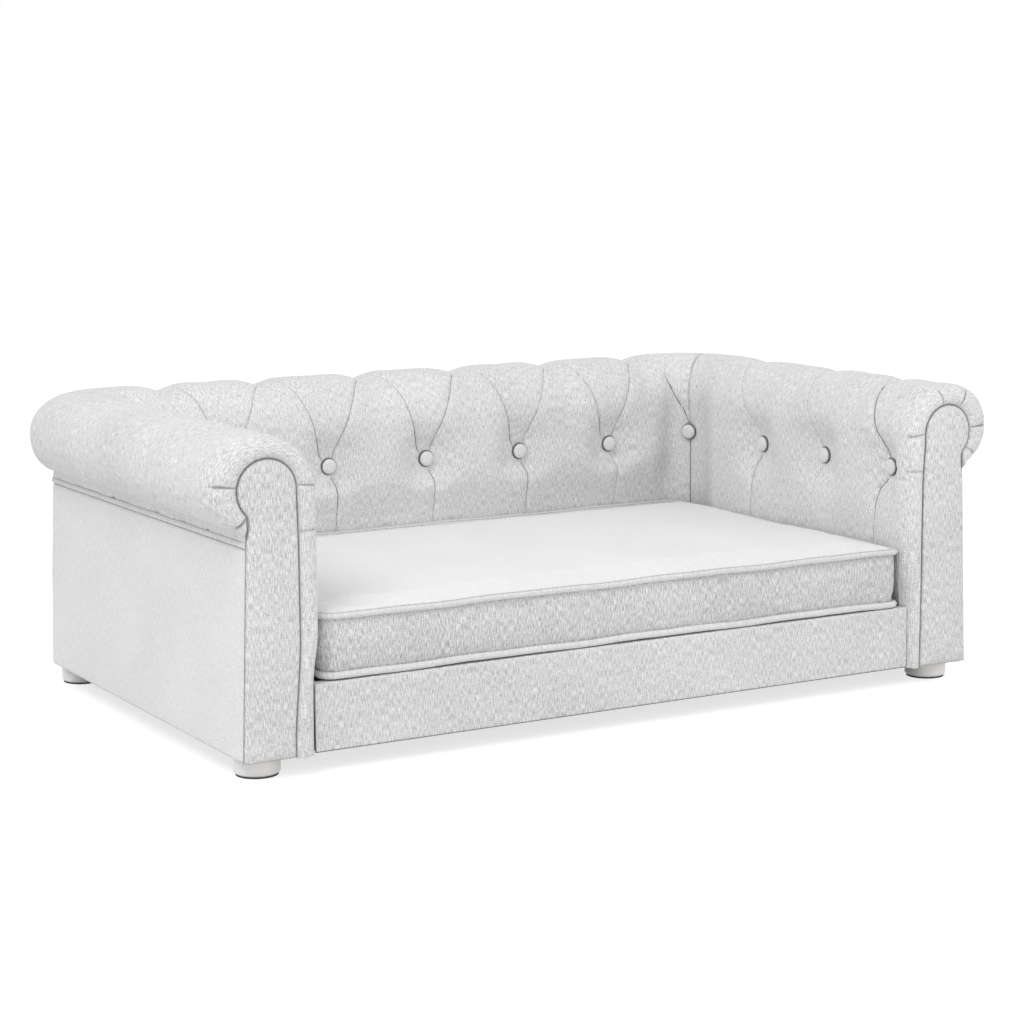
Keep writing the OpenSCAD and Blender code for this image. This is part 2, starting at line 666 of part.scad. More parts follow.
// Cloth under the base
module dust_cover() color("dimgray") difference() {
    board([-side_board_x, platform_y, body_z], [side_board_x, back_board_y - panel_t, under_z]);
    for (x = [-foot_x, foot_x]) for (y = [-front_foot_y, rear_foot_y])
        translate([x, y, body_z - cut]) cylinder(h = cloth_t + 2 * cut, d = bolt_hole_d);
}

// Covered buttons: a domed disc whose flat back lies in the tuft
module button_shape() color("gray") rotate_extrude() polygon(concat(
    [[0, 0], [button_d / 2 - foot_edge / 2, 0]],
    [[button_d / 2, button_rim_t / 2], [button_d / 2, button_rim_t]],
    [for (a = [15 : 15 : 90]) [button_d / 2 * cos(a), button_rim_t + (button_t - button_rim_t) * sin(a)]]
));
module back_button(i) translate([back_buttons[i], inner_y + tuft_depth, back_button_z])
    rotate([90, 0, 0]) button_shape();
module back_button_1() back_button(0);
module back_button_2() back_button(1);
module back_button_3() back_button(2);
module back_button_4() back_button(3);
module back_button_5() back_button(4);
module arm_button(i) translate([inner_x + tuft_depth, arm_buttons[i], arm_button_z])
    rotate([0, -90, 0]) button_shape();
module left_button_1() mirrored(true) arm_button(0);
module left_button_2() mirrored(true) arm_button(1);
module left_button_3() mirrored(true) arm_button(2);
module right_button_1() arm_button(0);
module right_button_2() arm_button(1);
module right_button_3() arm_button(2);
corner_seat_r = sqrt(pow(tuft_r * cos(corner_turn_step / 2), 2) - pow(button_d / 2, 2)) - fit;
module corner_button()
    translate([inner_x - corner_inner_r, inner_y - corner_inner_r, arm_button_z])
        rotate([0, 0, corner_button_turn]) translate([corner_seat_r, 0, 0])
            rotate([0, -90, 0]) button_shape();
module left_corner_button() mirrored(true) corner_button();
module right_corner_button() corner_button();

// Feet with their bolts and glides
module foot() color("gainsboro") difference() {
    rotate_extrude() polygon([
        [0, glide_t], [foot_d / 2 - foot_edge, glide_t], [foot_d / 2, glide_t + foot_edge],
        [foot_d / 2, body_z - foot_edge / 2],
        [foot_d / 2 - foot_edge / 2, body_z], [0, body_z]
    ]);
    translate([0, 0, bolt_bottom_z - fit]) cylinder(h = body_z, d = bolt_bore_d);
}
module front_left_foot() translate([-foot_x, -front_foot_y, 0]) foot();
module front_right_foot() translate([foot_x, -front_foot_y, 0]) foot();
module rear_left_foot() translate([-foot_x, rear_foot_y, 0]) foot();
module rear_right_foot() translate([foot_x, rear_foot_y, 0]) foot();
module at_feet() for (x = [-foot_x, foot_x]) for (y = [-front_foot_y, rear_foot_y])
    translate([x, y, 0]) children();
module foot_glides() color("dimgray") at_feet() cylinder(h = glide_t, d = glide_d);
module hanger_bolts() color("silver") at_feet()
    translate([0, 0, bolt_bottom_z]) cylinder(h = bolt_top_z - bolt_bottom_z, d = bolt_d);

// Plan of the cushion: a rounded rectangle on the welts' middle line, grown by out
cushion_half_x = inner_x - side_gap - welt_d / 2;
cushion_front_y = front_y + rail_setback + welt_d / 2;
cushion_rear_y = inner_y + back_recess - rear_gap - welt_d / 2;
SIDE_STEPS = 8;
LONG_STEPS = 18;
TURN_STEPS = 5;
function side_points(p, q, n, from, to, pull) = [
    for (i = [from : to - 1]) let (t = i / n, d = side_draw * sin(180 * t))
        [lerp(p[0], q[0], t) + pull[0] * d, lerp(p[1], q[1], t) + pull[1] * d, -pull[0], -pull[1]]
];
function turn_points(c, r, a) = [
    for (i = [0 : TURN_STEPS - 1]) let (t = a + 90 * i / TURN_STEPS)
        [c[0] + r * cos(t), c[1] + r * sin(t), cos(t), sin(t)]
];
function cushion_plan(out) = let (
    front_r = max(cushion_front_r - welt_d / 2 + out, cushion_edge_in),
    r = cushion_rear_r - welt_d / 2 + out,
    x = cushion_half_x + out,
    y0 = cushion_front_y - out,
    y1 = cushion_rear_y + out
) concat(
    side_points([-x, y1 - r], [-x, y0 + front_r], SIDE_STEPS, SIDE_STEPS / 2, SIDE_STEPS, [1, 0]),
    turn_points([-x + front_r, y0 + front_r], front_r, 180),
    side_points([-x + front_r, y0], [x - front_r, y0], LONG_STEPS, 0, LONG_STEPS, [0, 1]),
    turn_points([x - front_r, y0 + front_r], front_r, 270),
    side_points([x, y0 + front_r], [x, y1 - r], SIDE_STEPS, 0, SIDE_STEPS, [-1, 0]),
    turn_points([x - r, y1 - r], r, 0),
    [for (p = side_points([x - r, y1], [-x + r, y1], LONG_STEPS, 0, LONG_STEPS, [0, 0]))
        [p[0], p[1], 0, 1]],
    turn_points([-x + r, y1 - r], r, 90),
    side_points([-x, y1 - r], [-x, y0 + front_r], SIDE_STEPS, 0, SIDE_STEPS / 2, [1, 0])
);

// Cushion from its flat underside over the boxing to its crown
cushion_foot_z = platform_z + lift_gap;
bottom_welt_z = cushion_foot_z + bottom_welt_up;
welt_in = welt_d / 2 * cos(180 / TUBE_SIDES) + lift_gap;
boxing_low_z = bottom_welt_z + welt_d / 2 + fit;
boxing_high_z = top_welt_z - welt_d / 2 - fit;
crown_z = top_welt_z + welt_d / 2;
crown_in_shares = [0.03, 0.12, 0.35, 0.65, 1];
crown_up_shares = [0.15, 0.45, 0.75, 0.93, 1];
crown_reach = 165;
cushion_section = concat(
    [[-welt_in - cushion_edge_in, cushion_foot_z], [-welt_in, cushion_foot_z + fit],
     [-welt_in, boxing_low_z], [boxing_out, boxing_low_z + boxing_step],
     [0, boxing_low_z + boxing_step + boxing_flat], [0, boxing_high_z - boxing_step - boxing_flat],
     [boxing_out, boxing_high_z - boxing_step], [-welt_in, boxing_high_z], [-welt_in, crown_z]],
    [for (i = [0 : len(crown_in_shares) - 1])
        [-welt_in - crown_reach * crown_in_shares[i], crown_z + crown_h * crown_up_shares[i]]]
);
module seat_cushion() color("white") stack([
    for (c = cushion_section) [for (p = cushion_plan(c[0])) [p[0], p[1], c[1]]]
]);
module cushion_top_welt() color("gainsboro") ring_tube(cushion_plan(0), welt_d, top_welt_z);
module cushion_bottom_welt() color("gainsboro") ring_tube(cushion_plan(0), welt_d, bottom_welt_z);

// Zip along the rear boxing
zip_half_l = inner_x - zip_end_in;
zip_z = (bottom_welt_z + top_welt_z) / 2;
module zip_tape() color("darkgray")
    board([-zip_half_l, cushion_rear_y, zip_z - zip_tape_h / 2],
          [zip_half_l, cushion_rear_y + zip_tape_t, zip_z + zip_tape_h / 2]);
module zip_slider() color("silver") {
    x = zip_half_l - slider_end_gap - slider_h / 2;
    y = cushion_rear_y + zip_tape_t + slider_gap;
    board([x - slider_h / 2, y, zip_z - slider_w / 2],
          [x + slider_h / 2, y + slider_t, zip_z + slider_w / 2]);
    board([x - pull_w / 2, y, zip_z - slider_w / 2 - pull_h],
          [x + pull_w / 2, y + pull_t, zip_z - slider_w / 2]);
}

seat_platform();
platform_cloth();
cross_bearers();
ledger_strips();
front_rail();
back_inner_board();
back_outer_board();
left_inner_board();
right_inner_board();
left_outer_board();
right_outer_board();
left_front_board();
right_front_board();
left_roll_rail();
right_roll_rail();
back_roll_rail();
front_left_block();
front_right_block();
rear_left_block();
rear_right_block();
left_arm_pad();
right_arm_pad();
back_pad();
left_side_cover();
right_side_cover();
back_cover();
front_rail_cover();
left_facing();
right_facing();
left_arm_welt();
right_arm_welt();
back_welt();
dust_cover();
back_button_1();
back_button_2();
back_button_3();
back_button_4();
back_button_5();
left_corner_button();
right_corner_button();
left_button_1();
left_button_2();
left_button_3();
right_button_1();
right_button_2();
right_button_3();
front_left_foot();
front_right_foot();
rear_left_foot();
rear_right_foot();
foot_glides();
hanger_bolts();
seat_cushion();
cushion_top_welt();
cushion_bottom_welt();
zip_tape();
zip_slider();
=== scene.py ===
import math

import bpy
import numpy as np
from mathutils import Matrix, Vector


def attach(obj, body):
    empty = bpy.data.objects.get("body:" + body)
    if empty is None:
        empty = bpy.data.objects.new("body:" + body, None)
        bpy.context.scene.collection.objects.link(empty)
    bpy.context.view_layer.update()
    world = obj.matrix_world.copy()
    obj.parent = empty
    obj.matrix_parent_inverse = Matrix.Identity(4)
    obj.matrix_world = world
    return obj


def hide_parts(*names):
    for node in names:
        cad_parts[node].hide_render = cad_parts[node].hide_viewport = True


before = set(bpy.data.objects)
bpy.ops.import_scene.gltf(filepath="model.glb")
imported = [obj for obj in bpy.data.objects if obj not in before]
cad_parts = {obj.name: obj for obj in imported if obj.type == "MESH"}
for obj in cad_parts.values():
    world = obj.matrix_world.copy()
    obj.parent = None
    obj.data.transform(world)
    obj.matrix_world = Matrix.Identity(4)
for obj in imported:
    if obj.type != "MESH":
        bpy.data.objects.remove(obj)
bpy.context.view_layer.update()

# Sizes of the upholstery, in metres, as in the part's source. U is the way out from a wall's inner face,
# and V the way along the cloth from the floor, up the inner face and over the roll.
TOP_Z, FOOT_Z, PLATFORM_Z = 0.348, 0.020, 0.092
INNER_X, INNER_Y, FRONT_Y, WALL_T = 0.373, 0.1735, -0.2945, 0.121
SHOULDER_R, SHOULDER_Z, ROLL_U, ROLL_Z, ROLL_R = 0.060, 0.288, 0.073, 0.300, 0.048
ARM_SIDE_U, BACK_SIDE_U, COVER_T, TAIL_Z, RAIL_Z = 0.082, 0.1035, 0.006, 0.2442, 0.262
HEAD_U, HEAD_Z, HEAD_R, PAD_T = 0.058, 0.294, 0.030, 0.028
FACING_Y, FACING_R, BAND_D = -0.289, 0.032, 0.022
BODY_SIDE_X, BODY_FLARE = 0.455, 0.008
CREST_V = SHOULDER_Z + SHOULDER_R * math.pi / 2
CREST_TOP_V = CREST_V + ROLL_U - SHOULDER_R
ROLL_END_V = CREST_TOP_V + ROLL_R * 2.88
DENT_END_V = CREST_V + 0.060
ROLL_CORNER_R, BODY_CORNER_R, CORNER_INNER_R, CREASE_DEPTH, CORNER_BLEND = 0.080, 0.012, 0.024, 0.015, 0.045
CORNER_BUTTON_TURN, CORNER_SEAT_R = math.radians(30), 0.03734
TUFT_DEPTH, TUFT_HALF, TUFT_W = 0.014, 0.010, 0.024
ARM_BUTTON_Z, BACK_BUTTON_Z = 0.252, 0.242
ARM_BUTTONS, ARM_VALLEYS = (-0.245, -0.118, 0.009), (-0.1815, -0.0545, 0.09875)
BACK_BUTTONS = (-0.268, -0.134, 0.0, 0.134, 0.268)
BACK_VALLEYS = (-0.328, -0.201, -0.067, 0.067, 0.201, 0.328)
ARM_DIP, BACK_DIP, DIP_W, DIP_REACH = 0.0045, 0.0065, 0.018, 0.060
ARM_RECESS_SIZES, BACK_RECESS_SIZES = (0.007, PLATFORM_Z, PLATFORM_Z + 0.058), (0.014, 0.160, 0.232)
COVER_TOP_Z, ROLL_WELT_R, CUSHION_WELT_R = 0.2368, 0.0035, 0.0038
FOLD_SHADOW = (0.09, 0.09, 0.09, 1)


def smooth(share):
    share = np.clip(share, 0, 1)
    return share * share * (3 - 2 * share)


def bell(distance, width):
    return np.exp(-(distance / width) ** 2)


def lerp(low, high, share):
    return low + (high - low) * share


def crease(off, broad, broad_width, sharp, sharp_width):
    """Depth of a crease at a distance off its line: a broad hollow with a sharp fold in its middle."""
    return broad * bell(off, broad_width) + sharp * np.exp(-np.abs(off) / sharp_width)


def way_along(points):
    """Distance along a line of points, from the first one."""
    return np.concatenate([[0], np.cumsum(np.linalg.norm(np.diff(points, axis=0), axis=1))])


def unevenness(along, up, seed, size):
    """A gentle, repeatable irregularity of stuffed cloth, about -1 to 1, in waves about size metres long."""
    draws = np.random.default_rng(seed)
    total = 0
    for _ in range(5):
        angle, phase = draws.uniform(0, 2 * math.pi, 2)
        wave = 2 * math.pi / (size * draws.uniform(0.7, 1.5))
        total = total + np.sin(wave * (along * math.cos(angle) + up * math.sin(angle)) + phase)
    return total / 3


# Materials
def put(tree, kind, wires=None, **settings):
    made = tree.nodes.new(kind)
    for key, value in settings.items():
        setattr(made, key, value)
    for socket, value in (wires or {}).items():
        if isinstance(value, bpy.types.NodeSocket):
            tree.links.new(value, made.inputs[socket])
        else:
            made.inputs[socket].default_value = value
    return made


def sum_of(tree, *terms):
    """Adds up (socket, factor) pairs."""
    total = None
    for socket, factor in terms:
        part = put(tree, "ShaderNodeMath", {0: socket, 1: factor}, operation="MULTIPLY").outputs[0]
        total = part if total is None else put(
            tree, "ShaderNodeMath", {0: total, 1: part}, operation="ADD").outputs[0]
    return total


def stretched_noise(tree, place, across, along, detail=2.0, rough=0.6):
    scaled = put(tree, "ShaderNodeVectorMath", {0: place, 1: (1 / across, 1 / along, 1 / across)},
                 operation="MULTIPLY")
    noise = put(tree, "ShaderNodeTexNoise",
                {"Vector": scaled.outputs[0], "Scale": 1.0, "Detail": detail, "Roughness": rough})
    return noise.outputs["Fac"]


def spread(tree, value, low, high, least=0.0, most=1.0):
    """Spreads the values from low to high over the range from least to most."""
    return put(tree, "ShaderNodeMapRange", {0: value, 1: low, 2: high, 3: least, 4: most}).outputs[0]


def blend(tree, share, low, high):
    return put(tree, "ShaderNodeMix", {0: share, 6: low, 7: high}, data_type="RGBA").outputs[2]


def raise_grain(tree, surface, height, strength, distance):
    raised = put(tree, "ShaderNodeBump", {"Height": height, "Strength": strength, "Distance": distance})
    tree.links.new(raised.outputs["Normal"], surface.inputs["Normal"])


def new_finish(name):
    """An empty material with its node tree and its shader."""
    material = bpy.data.materials.new(name)
    material.use_nodes = True
    return material, material.node_tree, material.node_tree.nodes["Principled BSDF"]


def thread_weave():
    """Heathered linen: fine warp streaks, weaker weft streaks, and specks where two threads cross."""
    group = bpy.data.node_groups.new("thread_weave", "ShaderNodeTree")
    group.interface.new_socket("Place", in_out="INPUT", socket_type="NodeSocketVector")
    group.interface.new_socket("Streak", in_out="INPUT", socket_type="NodeSocketFloat")
    group.interface.new_socket("Shade", in_out="OUTPUT", socket_type="NodeSocketFloat")
    group.interface.new_socket("Height", in_out="OUTPUT", socket_type="NodeSocketFloat")
    source, result = group.nodes.new("NodeGroupInput"), group.nodes.new("NodeGroupOutput")
    place, streak = source.outputs["Place"], source.outputs["Streak"]
    warp = spread(group, stretched_noise(group, place, 0.0009, 0.0080, 1.0), 0.38, 0.62)
    weft = spread(group, stretched_noise(group, place, 0.006, 0.0009, 1.0), 0.36, 0.64)
    speck = spread(group, stretched_noise(group, place, 0.0009, 0.0011, 1.0), 0.38, 0.62)
    flat = put(group, "ShaderNodeMath", {0: 1.0, 1: streak}, operation="SUBTRACT").outputs[0]
    lined = put(group, "ShaderNodeMath", {0: warp, 1: streak}, operation="MULTIPLY").outputs[0]
    specked = put(group, "ShaderNodeMath", {0: speck, 1: flat}, operation="MULTIPLY").outputs[0]
    shade = sum_of(group, (lined, 0.80), (specked, 0.80), (weft, 0.20))
    height = sum_of(group, (warp, 0.5), (weft, 0.25), (speck, 0.25))
    group.links.new(shade, result.inputs["Shade"])
    group.links.new(height, result.inputs["Height"])
    return group


WEAVE = thread_weave()


def linen(name, dark, light, streak, bump=0.35, sheen=0.15):
    """Woven linen that follows a piece's own UV map in metres, with painted shade in its folds, and unevenly
    faded.
    """
    material, tree, surface = new_finish(name)
    place = put(tree, "ShaderNodeUVMap").outputs["UV"]
    weave = put(tree, "ShaderNodeGroup", node_tree=WEAVE)
    tree.links.new(place, weave.inputs["Place"])
    weave.inputs["Streak"].default_value = streak
    where = put(tree, "ShaderNodeTexCoord").outputs["Object"]
    faded = put(tree, "ShaderNodeTexNoise", {"Vector": where, "Scale": 9.0, "Detail": 3.0}).outputs["Fac"]
    shade = sum_of(tree, (weave.outputs["Shade"], 0.88), (spread(tree, faded, 0.3, 0.7), 0.12))
    colour = blend(tree, shade, (*dark, 1), (*light, 1))
    # Painted shade: the fold attribute mixes FOLD_SHADOW into the colour along creases, seams and rims.
    fold = put(tree, "ShaderNodeAttribute", attribute_name="fold").outputs["Fac"]
    tree.links.new(blend(tree, fold, colour, FOLD_SHADOW), surface.inputs["Base Color"])
    rough = spread(tree, weave.outputs["Shade"], 0.0, 1.0, 0.96, 0.84)
    tree.links.new(rough, surface.inputs["Roughness"])
    raise_grain(tree, surface, weave.outputs["Height"], bump, 0.0004)
    surface.inputs["Sheen Weight"].default_value = sheen
    surface.inputs["Sheen Roughness"].default_value = 0.5
    surface.inputs["Specular IOR Level"].default_value = 0.25
    return material


def plain_finish(name, base, other, scale, rough_low, rough_high,
                 stretch=(1, 1, 1), bump=0.1, metal=0.0, coat=0.0):
    """A worn finish: two close tones, uneven roughness and a fine grain, on the object's own coordinates."""
    material, tree, surface = new_finish(name)
    where = put(tree, "ShaderNodeTexCoord").outputs["Object"]
    placed = put(tree, "ShaderNodeMapping", {"Vector": where, "Scale": stretch}).outputs[0]
    grain = put(tree, "ShaderNodeTexNoise", {"Vector": placed, "Scale": scale, "Detail": 6.0}).outputs["Fac"]
    colour = blend(tree, spread(tree, grain, 0.35, 0.65), (*base, 1), (*other, 1))
    tree.links.new(colour, surface.inputs["Base Color"])
    tree.links.new(spread(tree, grain, 0.3, 0.7, rough_low, rough_high), surface.inputs["Roughness"])
    raise_grain(tree, surface, grain, bump, 0.0005)
    surface.inputs["Metallic"].default_value = metal
    surface.inputs["Coat Weight"].default_value = coat
    return material


# These copies of one linen differ in tone as painted light and shade: lightest on the cushion's top and the
# outer covers, darker on the tufted walls, facings, rail and boxing.
PAD_LINEN = linen("tufted_linen", (0.38, 0.38, 0.385), (0.95, 0.95, 0.95), 0.60)
PANEL_LINEN = linen("panel_linen", (0.36, 0.36, 0.365), (0.93, 0.93, 0.93), 0.70)
SIDE_LINEN = linen("side_linen", (0.54, 0.54, 0.545), (0.94, 0.94, 0.94), 0.30)
CUSHION_LINEN = linen("cushion_linen", (0.62, 0.62, 0.625), (0.93, 0.93, 0.93), 0.15, bump=0.25)
SHADED_BOXING_LINEN = linen("shaded_boxing_linen", (0.30, 0.30, 0.305), (0.90, 0.90, 0.90), 0.75)
WELT_LINEN = linen("welt_linen", (0.46, 0.46, 0.465), (0.90, 0.90, 0.90), 0.45)
BUTTON_LINEN = linen("button_linen", (0.50, 0.50, 0.505), (0.90, 0.90, 0.90), 0.30)
UNDER_CLOTH = linen("under_cloth", (0.055, 0.055, 0.06), (0.10, 0.10, 0.105), 0.20, sheen=0.05)
ZIP_CLOTH = linen("zip_cloth", (0.36, 0.36, 0.37), (0.60, 0.60, 0.61), 0.50)


# Pieces of cloth: a grid primitive whose rows and columns are moved to their places
def let_go():
    if bpy.context.object and bpy.context.object.mode != "OBJECT":
        bpy.ops.object.mode_set(mode="OBJECT")
    bpy.ops.object.select_all(action="DESELECT")


def places_of(mesh):
    """The mesh's vertices as rows of x, y and z."""
    place = np.empty(len(mesh.vertices) * 3)
    mesh.vertices.foreach_get("co", place)
    return place.reshape(-1, 3)


def corners_of(mesh):
    """The vertex at each corner of each face."""
    corner = np.empty(len(mesh.loops), dtype=np.int32)
    mesh.loops.foreach_get("vertex_index", corner)
    return corner


def sewn(name, points, cloth, uv=None, fold=None, crisp=60, closed=True):
    """A piece of cloth from a grid of points[row, column]: ends that meet are welded, and holes filled."""
    rows, cols = points.shape[:2]
    let_go()
    bpy.ops.mesh.primitive_grid_add(x_subdivisions=cols - 1, y_subdivisions=rows - 1, size=2)
    piece = bpy.context.object
    piece.name = piece.data.name = name
    mesh = piece.data
    place = places_of(mesh)
    col = np.rint((place[:, 0] + 1) / 2 * (cols - 1)).astype(int)
    row = np.rint((place[:, 1] + 1) / 2 * (rows - 1)).astype(int)
    mesh.vertices.foreach_set("co", points[row, col].ravel())
    if uv is not None:
        mesh.uv_layers.active.data.foreach_set("uv", uv[row, col][corners_of(mesh)].ravel())
    # fold is painted shade, kept as a point attribute that the linen reads.
    if fold is not None:
        marks = mesh.attributes.new("fold", "FLOAT", "POINT")
        marks.data.foreach_set("value", np.clip(fold[row, col], 0, 1).astype(np.float32))
    bpy.ops.object.mode_set(mode="EDIT")
    bpy.ops.mesh.select_all(action="SELECT")
    if closed:
        bpy.ops.mesh.remove_doubles(threshold=1e-6)
        bpy.ops.mesh.fill_holes(sides=0)
        bpy.ops.mesh.normals_make_consistent(inside=False)
    bpy.ops.object.mode_set(mode="OBJECT")
    bpy.ops.object.shade_smooth_by_angle(angle=math.radians(crisp))
    mesh.materials.clear()
    mesh.materials.append(cloth)
    return piece


def mirrored_points(points):
    return points * np.array([-1, 1, 1])


# Profile of the padded walls
def profile_angles():
    return (np.linspace(180, 90, 38, endpoint=False), np.linspace(90, -75, 58))


def padded_profile(side_u, foot_z):
    """Rows from the inner foot over shoulder and roll to the seam: run, out, up, and the way inwards."""
    shoulder, roll = profile_angles()
    face = np.concatenate([np.linspace(foot_z, 0.160, 12, endpoint=False),
                           np.linspace(0.160, SHOULDER_Z, 56, endpoint=False)])
    flat = np.linspace(SHOULDER_R, ROLL_U, 4, endpoint=False)
    a, b = np.radians(shoulder), np.radians(roll)
    roll_u, roll_z = ROLL_U + ROLL_R * np.cos(b), ROLL_Z + ROLL_R * np.sin(b)
    past = (roll < -50) & (side_u > ARM_SIDE_U)
    roll_u = np.where(past, np.maximum(roll_u, side_u), roll_u)
    tail = np.array([0.4, 0.75, 1.0])
    tail_u, tail_z = lerp(roll_u[-1], side_u, tail), lerp(roll_z[-1], TAIL_Z, tail)
    ones, none = np.ones, np.zeros
    run = np.concatenate([face, SHOULDER_Z + SHOULDER_R * (math.pi - a), CREST_V + flat - SHOULDER_R,
                          CREST_TOP_V + ROLL_R * (math.pi / 2 - b), ROLL_END_V + 0.010 * tail])
    out = np.concatenate([none(len(face)), SHOULDER_R + SHOULDER_R * np.cos(a), flat, roll_u, tail_u])
    up = np.concatenate([face, SHOULDER_Z + SHOULDER_R * np.sin(a), TOP_Z + none(len(flat)), roll_z, tail_z])
    in_u = np.concatenate([ones(len(face)), -np.cos(a), none(len(flat)), -np.cos(b), -ones(len(tail))])
    in_z = np.concatenate([none(len(face)), -np.sin(a), -ones(len(flat)), -np.sin(b), none(len(tail))])
    return run, out, up, in_u, in_z


def core_profile(side_u, foot_z):
    """Rows of the padding's inner side, from the seam back over the rail's head to the foot."""
    side = side_u - COVER_T
    rows = [(side, TAIL_Z), (side, RAIL_Z)]
    low, turn = math.acos((ARM_SIDE_U - COVER_T - HEAD_U) / HEAD_R), math.radians(8)
    low_z, turn_z = HEAD_Z - HEAD_R * math.sin(low), HEAD_Z - HEAD_R * math.sin(turn)
    for angle in (-low, math.radians(-30), -turn, *np.radians((20, 50, 80, 100, 130, 155, 180))):
        u, z = HEAD_U + HEAD_R * math.cos(angle), HEAD_Z + HEAD_R * math.sin(angle)
        if z <= turn_z:
            u = max(u, lerp(HEAD_U + HEAD_R * math.cos(turn), side, (turn_z - z) / (turn_z - low_z)))
        rows.append((u, z))
    rows += [(PAD_T, 0.24), (PAD_T, 0.16), (PAD_T, foot_z)]
    return np.array(rows)


RUN, ARM_OUT, UP, IN_U, IN_Z = padded_profile(ARM_SIDE_U, PLATFORM_Z)
BACK_OUT = padded_profile(BACK_SIDE_U, PLATFORM_Z)[1]
ROWS = len(RUN)
UNDER_ROLL = np.clip((UP - TAIL_Z) / (ROLL_Z - TAIL_Z), 0, 1)
CORNER_R = np.where(
    (RUN <= CREST_TOP_V) | (UP > ROLL_Z), lerp(CORNER_INNER_R, ROLL_CORNER_R, ARM_OUT / WALL_T),
    lerp(BODY_CORNER_R, ROLL_CORNER_R, np.sin(math.pi / 2 * UNDER_ROLL)))


def crease_depth(button_z):
    return CREASE_DEPTH * (1 - smooth((RUN - button_z - TUFT_HALF) / (CREST_V - button_z - TUFT_HALF)))


CORNER_DENT = crease_depth(ARM_BUTTON_Z) * (RUN < DENT_END_V)


def gathered(length, middle):
    """Places across strips of these lengths, closer together at both edges, where the cloth is folded."""
    edge = np.array([0, 0.0008, 0.0020, 0.0040, 0.0070, 0.0115])
    near = edge[None, :] * np.minimum(1, length / 0.034)[:, None]
    far = length[:, None] - near[:, ::-1]
    inner = near[:, -1:] + (far[:, :1] - near[:, -1:]) * (np.arange(1, middle) / middle)[None, :]
    return np.concatenate([near, inner, far], axis=1)


def half_cell(half, reach, button_z):
    """Columns from a button's line to the valley, one of them on the pleat: places, pleat, height share."""
    share = (RUN - button_z) / (CREST_V - button_z)
    start = 0.0050
    leg = start + (half - 0.002 - start) * reach(np.clip(share, 0, 1))
    inner = gathered(leg, 9)
    outer = leg[:, None] + gathered(half - leg, 9)
    return np.concatenate([inner, outer[:, 1:]], axis=1), leg, share


# How far a pleat has run from its button to the valley at a share of the height up to the crest
def bowed(share):
    return share ** 1.35


def short(share):
    return 0.76 * share ** 0.85


def straight(share):
    return share ** 1.4


def upright(share):
    return 0 * share


def strips(cells, button_z):
    """All columns of a wall: places, dents and fold marks, which are painted shade along the pleats.

    Each cell has its button's place, the way and distance to its edge, the reach and strength of the pleat
    above the button, the strength of the fold below it, and how far that fold drifts aside.
    """
    place, dent, fold = [], [], []
    for number, (button, way, half, reach, pleat, drop, shift) in enumerate(cells):
        offset, leg, share = half_cell(half, reach, button_z)
        run = RUN[:, None]
        above = share[:, None]
        gap = (offset - leg[:, None]) * 0.9
        live = smooth((above - 0.02) / 0.08) * (1 - smooth((above - 0.80) / 0.25))
        lip = np.where(gap > 0, np.exp(-gap / 0.009) * 0.0012, 0)
        groove = pleat * live * (crease(gap, 0.0024, 0.006, 0.0026, 0.0011) - lip)
        # line is painted shade along the pleat above the button and the fold below it.
        line = pleat * live * (np.abs(gap) < 0.0004)
        below = smooth((button_z - 0.010 - run) / 0.012)
        ease = 1 - 0.55 * smooth((button_z - 0.030 - run) / 0.05)
        groove = groove + drop * below * ease * crease(offset, 0.0028, 0.006, 0.0026, 0.0012)
        line = line + drop * below * ease * (offset < 0.0004)
        seam = half - offset
        over = bell(run - CREST_V - 0.012, 0.050)
        groove = groove + over * crease(seam, 0.0012, 0.007, 0.0010, 0.0015)
        puff = 0.0022 * np.sin(math.pi * np.clip(offset / half, 0, 1)) ** 2 * bell(above - 0.45, 0.5)
        groove = groove - puff
        aside = shift * smooth((button_z - run - 0.004) / 0.026) * (1 - smooth(offset / (half * 0.8)))
        s = button + way * offset + aside
        if way < 0:
            s, groove, line = s[:, ::-1], groove[:, ::-1], line[:, ::-1]
        first = 0 if number == 0 else 1
        place.append(s[:, first:])
        dent.append(groove[:, first:])
        fold.append(line[:, first:])
    return np.concatenate(place, 1), np.concatenate(dent, 1), np.concatenate(fold, 1)


def soft_dents(s, button_z, buttons, valleys, dip):
    """The broad hollows round the buttons and the scallops of the crest."""
    run = RUN[:, None]
    total = np.zeros_like(s)
    for button in buttons:
        ds = np.maximum(0, np.abs(s - button) - TUFT_HALF)
        dv = np.maximum(0, np.abs(run - button_z) - TUFT_HALF)
        total = np.maximum(total, TUFT_DEPTH * np.exp(-(ds * ds + dv * dv) / TUFT_W ** 2))
    for valley in valleys:
        total = np.maximum(total, dip * bell(s - valley, DIP_W) * bell(run - CREST_V, DIP_REACH))
    return total


# Share of the height from the corner button to the crest at which its pleat passes from the arm to the back
MITRE_SHARE = 0.24


def corner_path(q, out_here, out_there, dent, across_end):
    """Along and across of the places at a distance q from the rear corner's mitre, drawn in by dent."""
    full_r = CORNER_R + IN_U * CORNER_DENT
    turn = np.minimum(q / full_r[:, None], math.pi / 4)
    beyond = np.maximum(0, q - full_r[:, None] * math.pi / 4)
    radius = CORNER_R[:, None] + IN_U[:, None] * dent
    angle = math.pi / 4 - turn
    along = across_end + (out_there - CORNER_R)[:, None] + radius * np.sin(angle) - beyond
    across = (out_here - CORNER_R)[:, None] + radius * np.cos(angle)
    return along, across


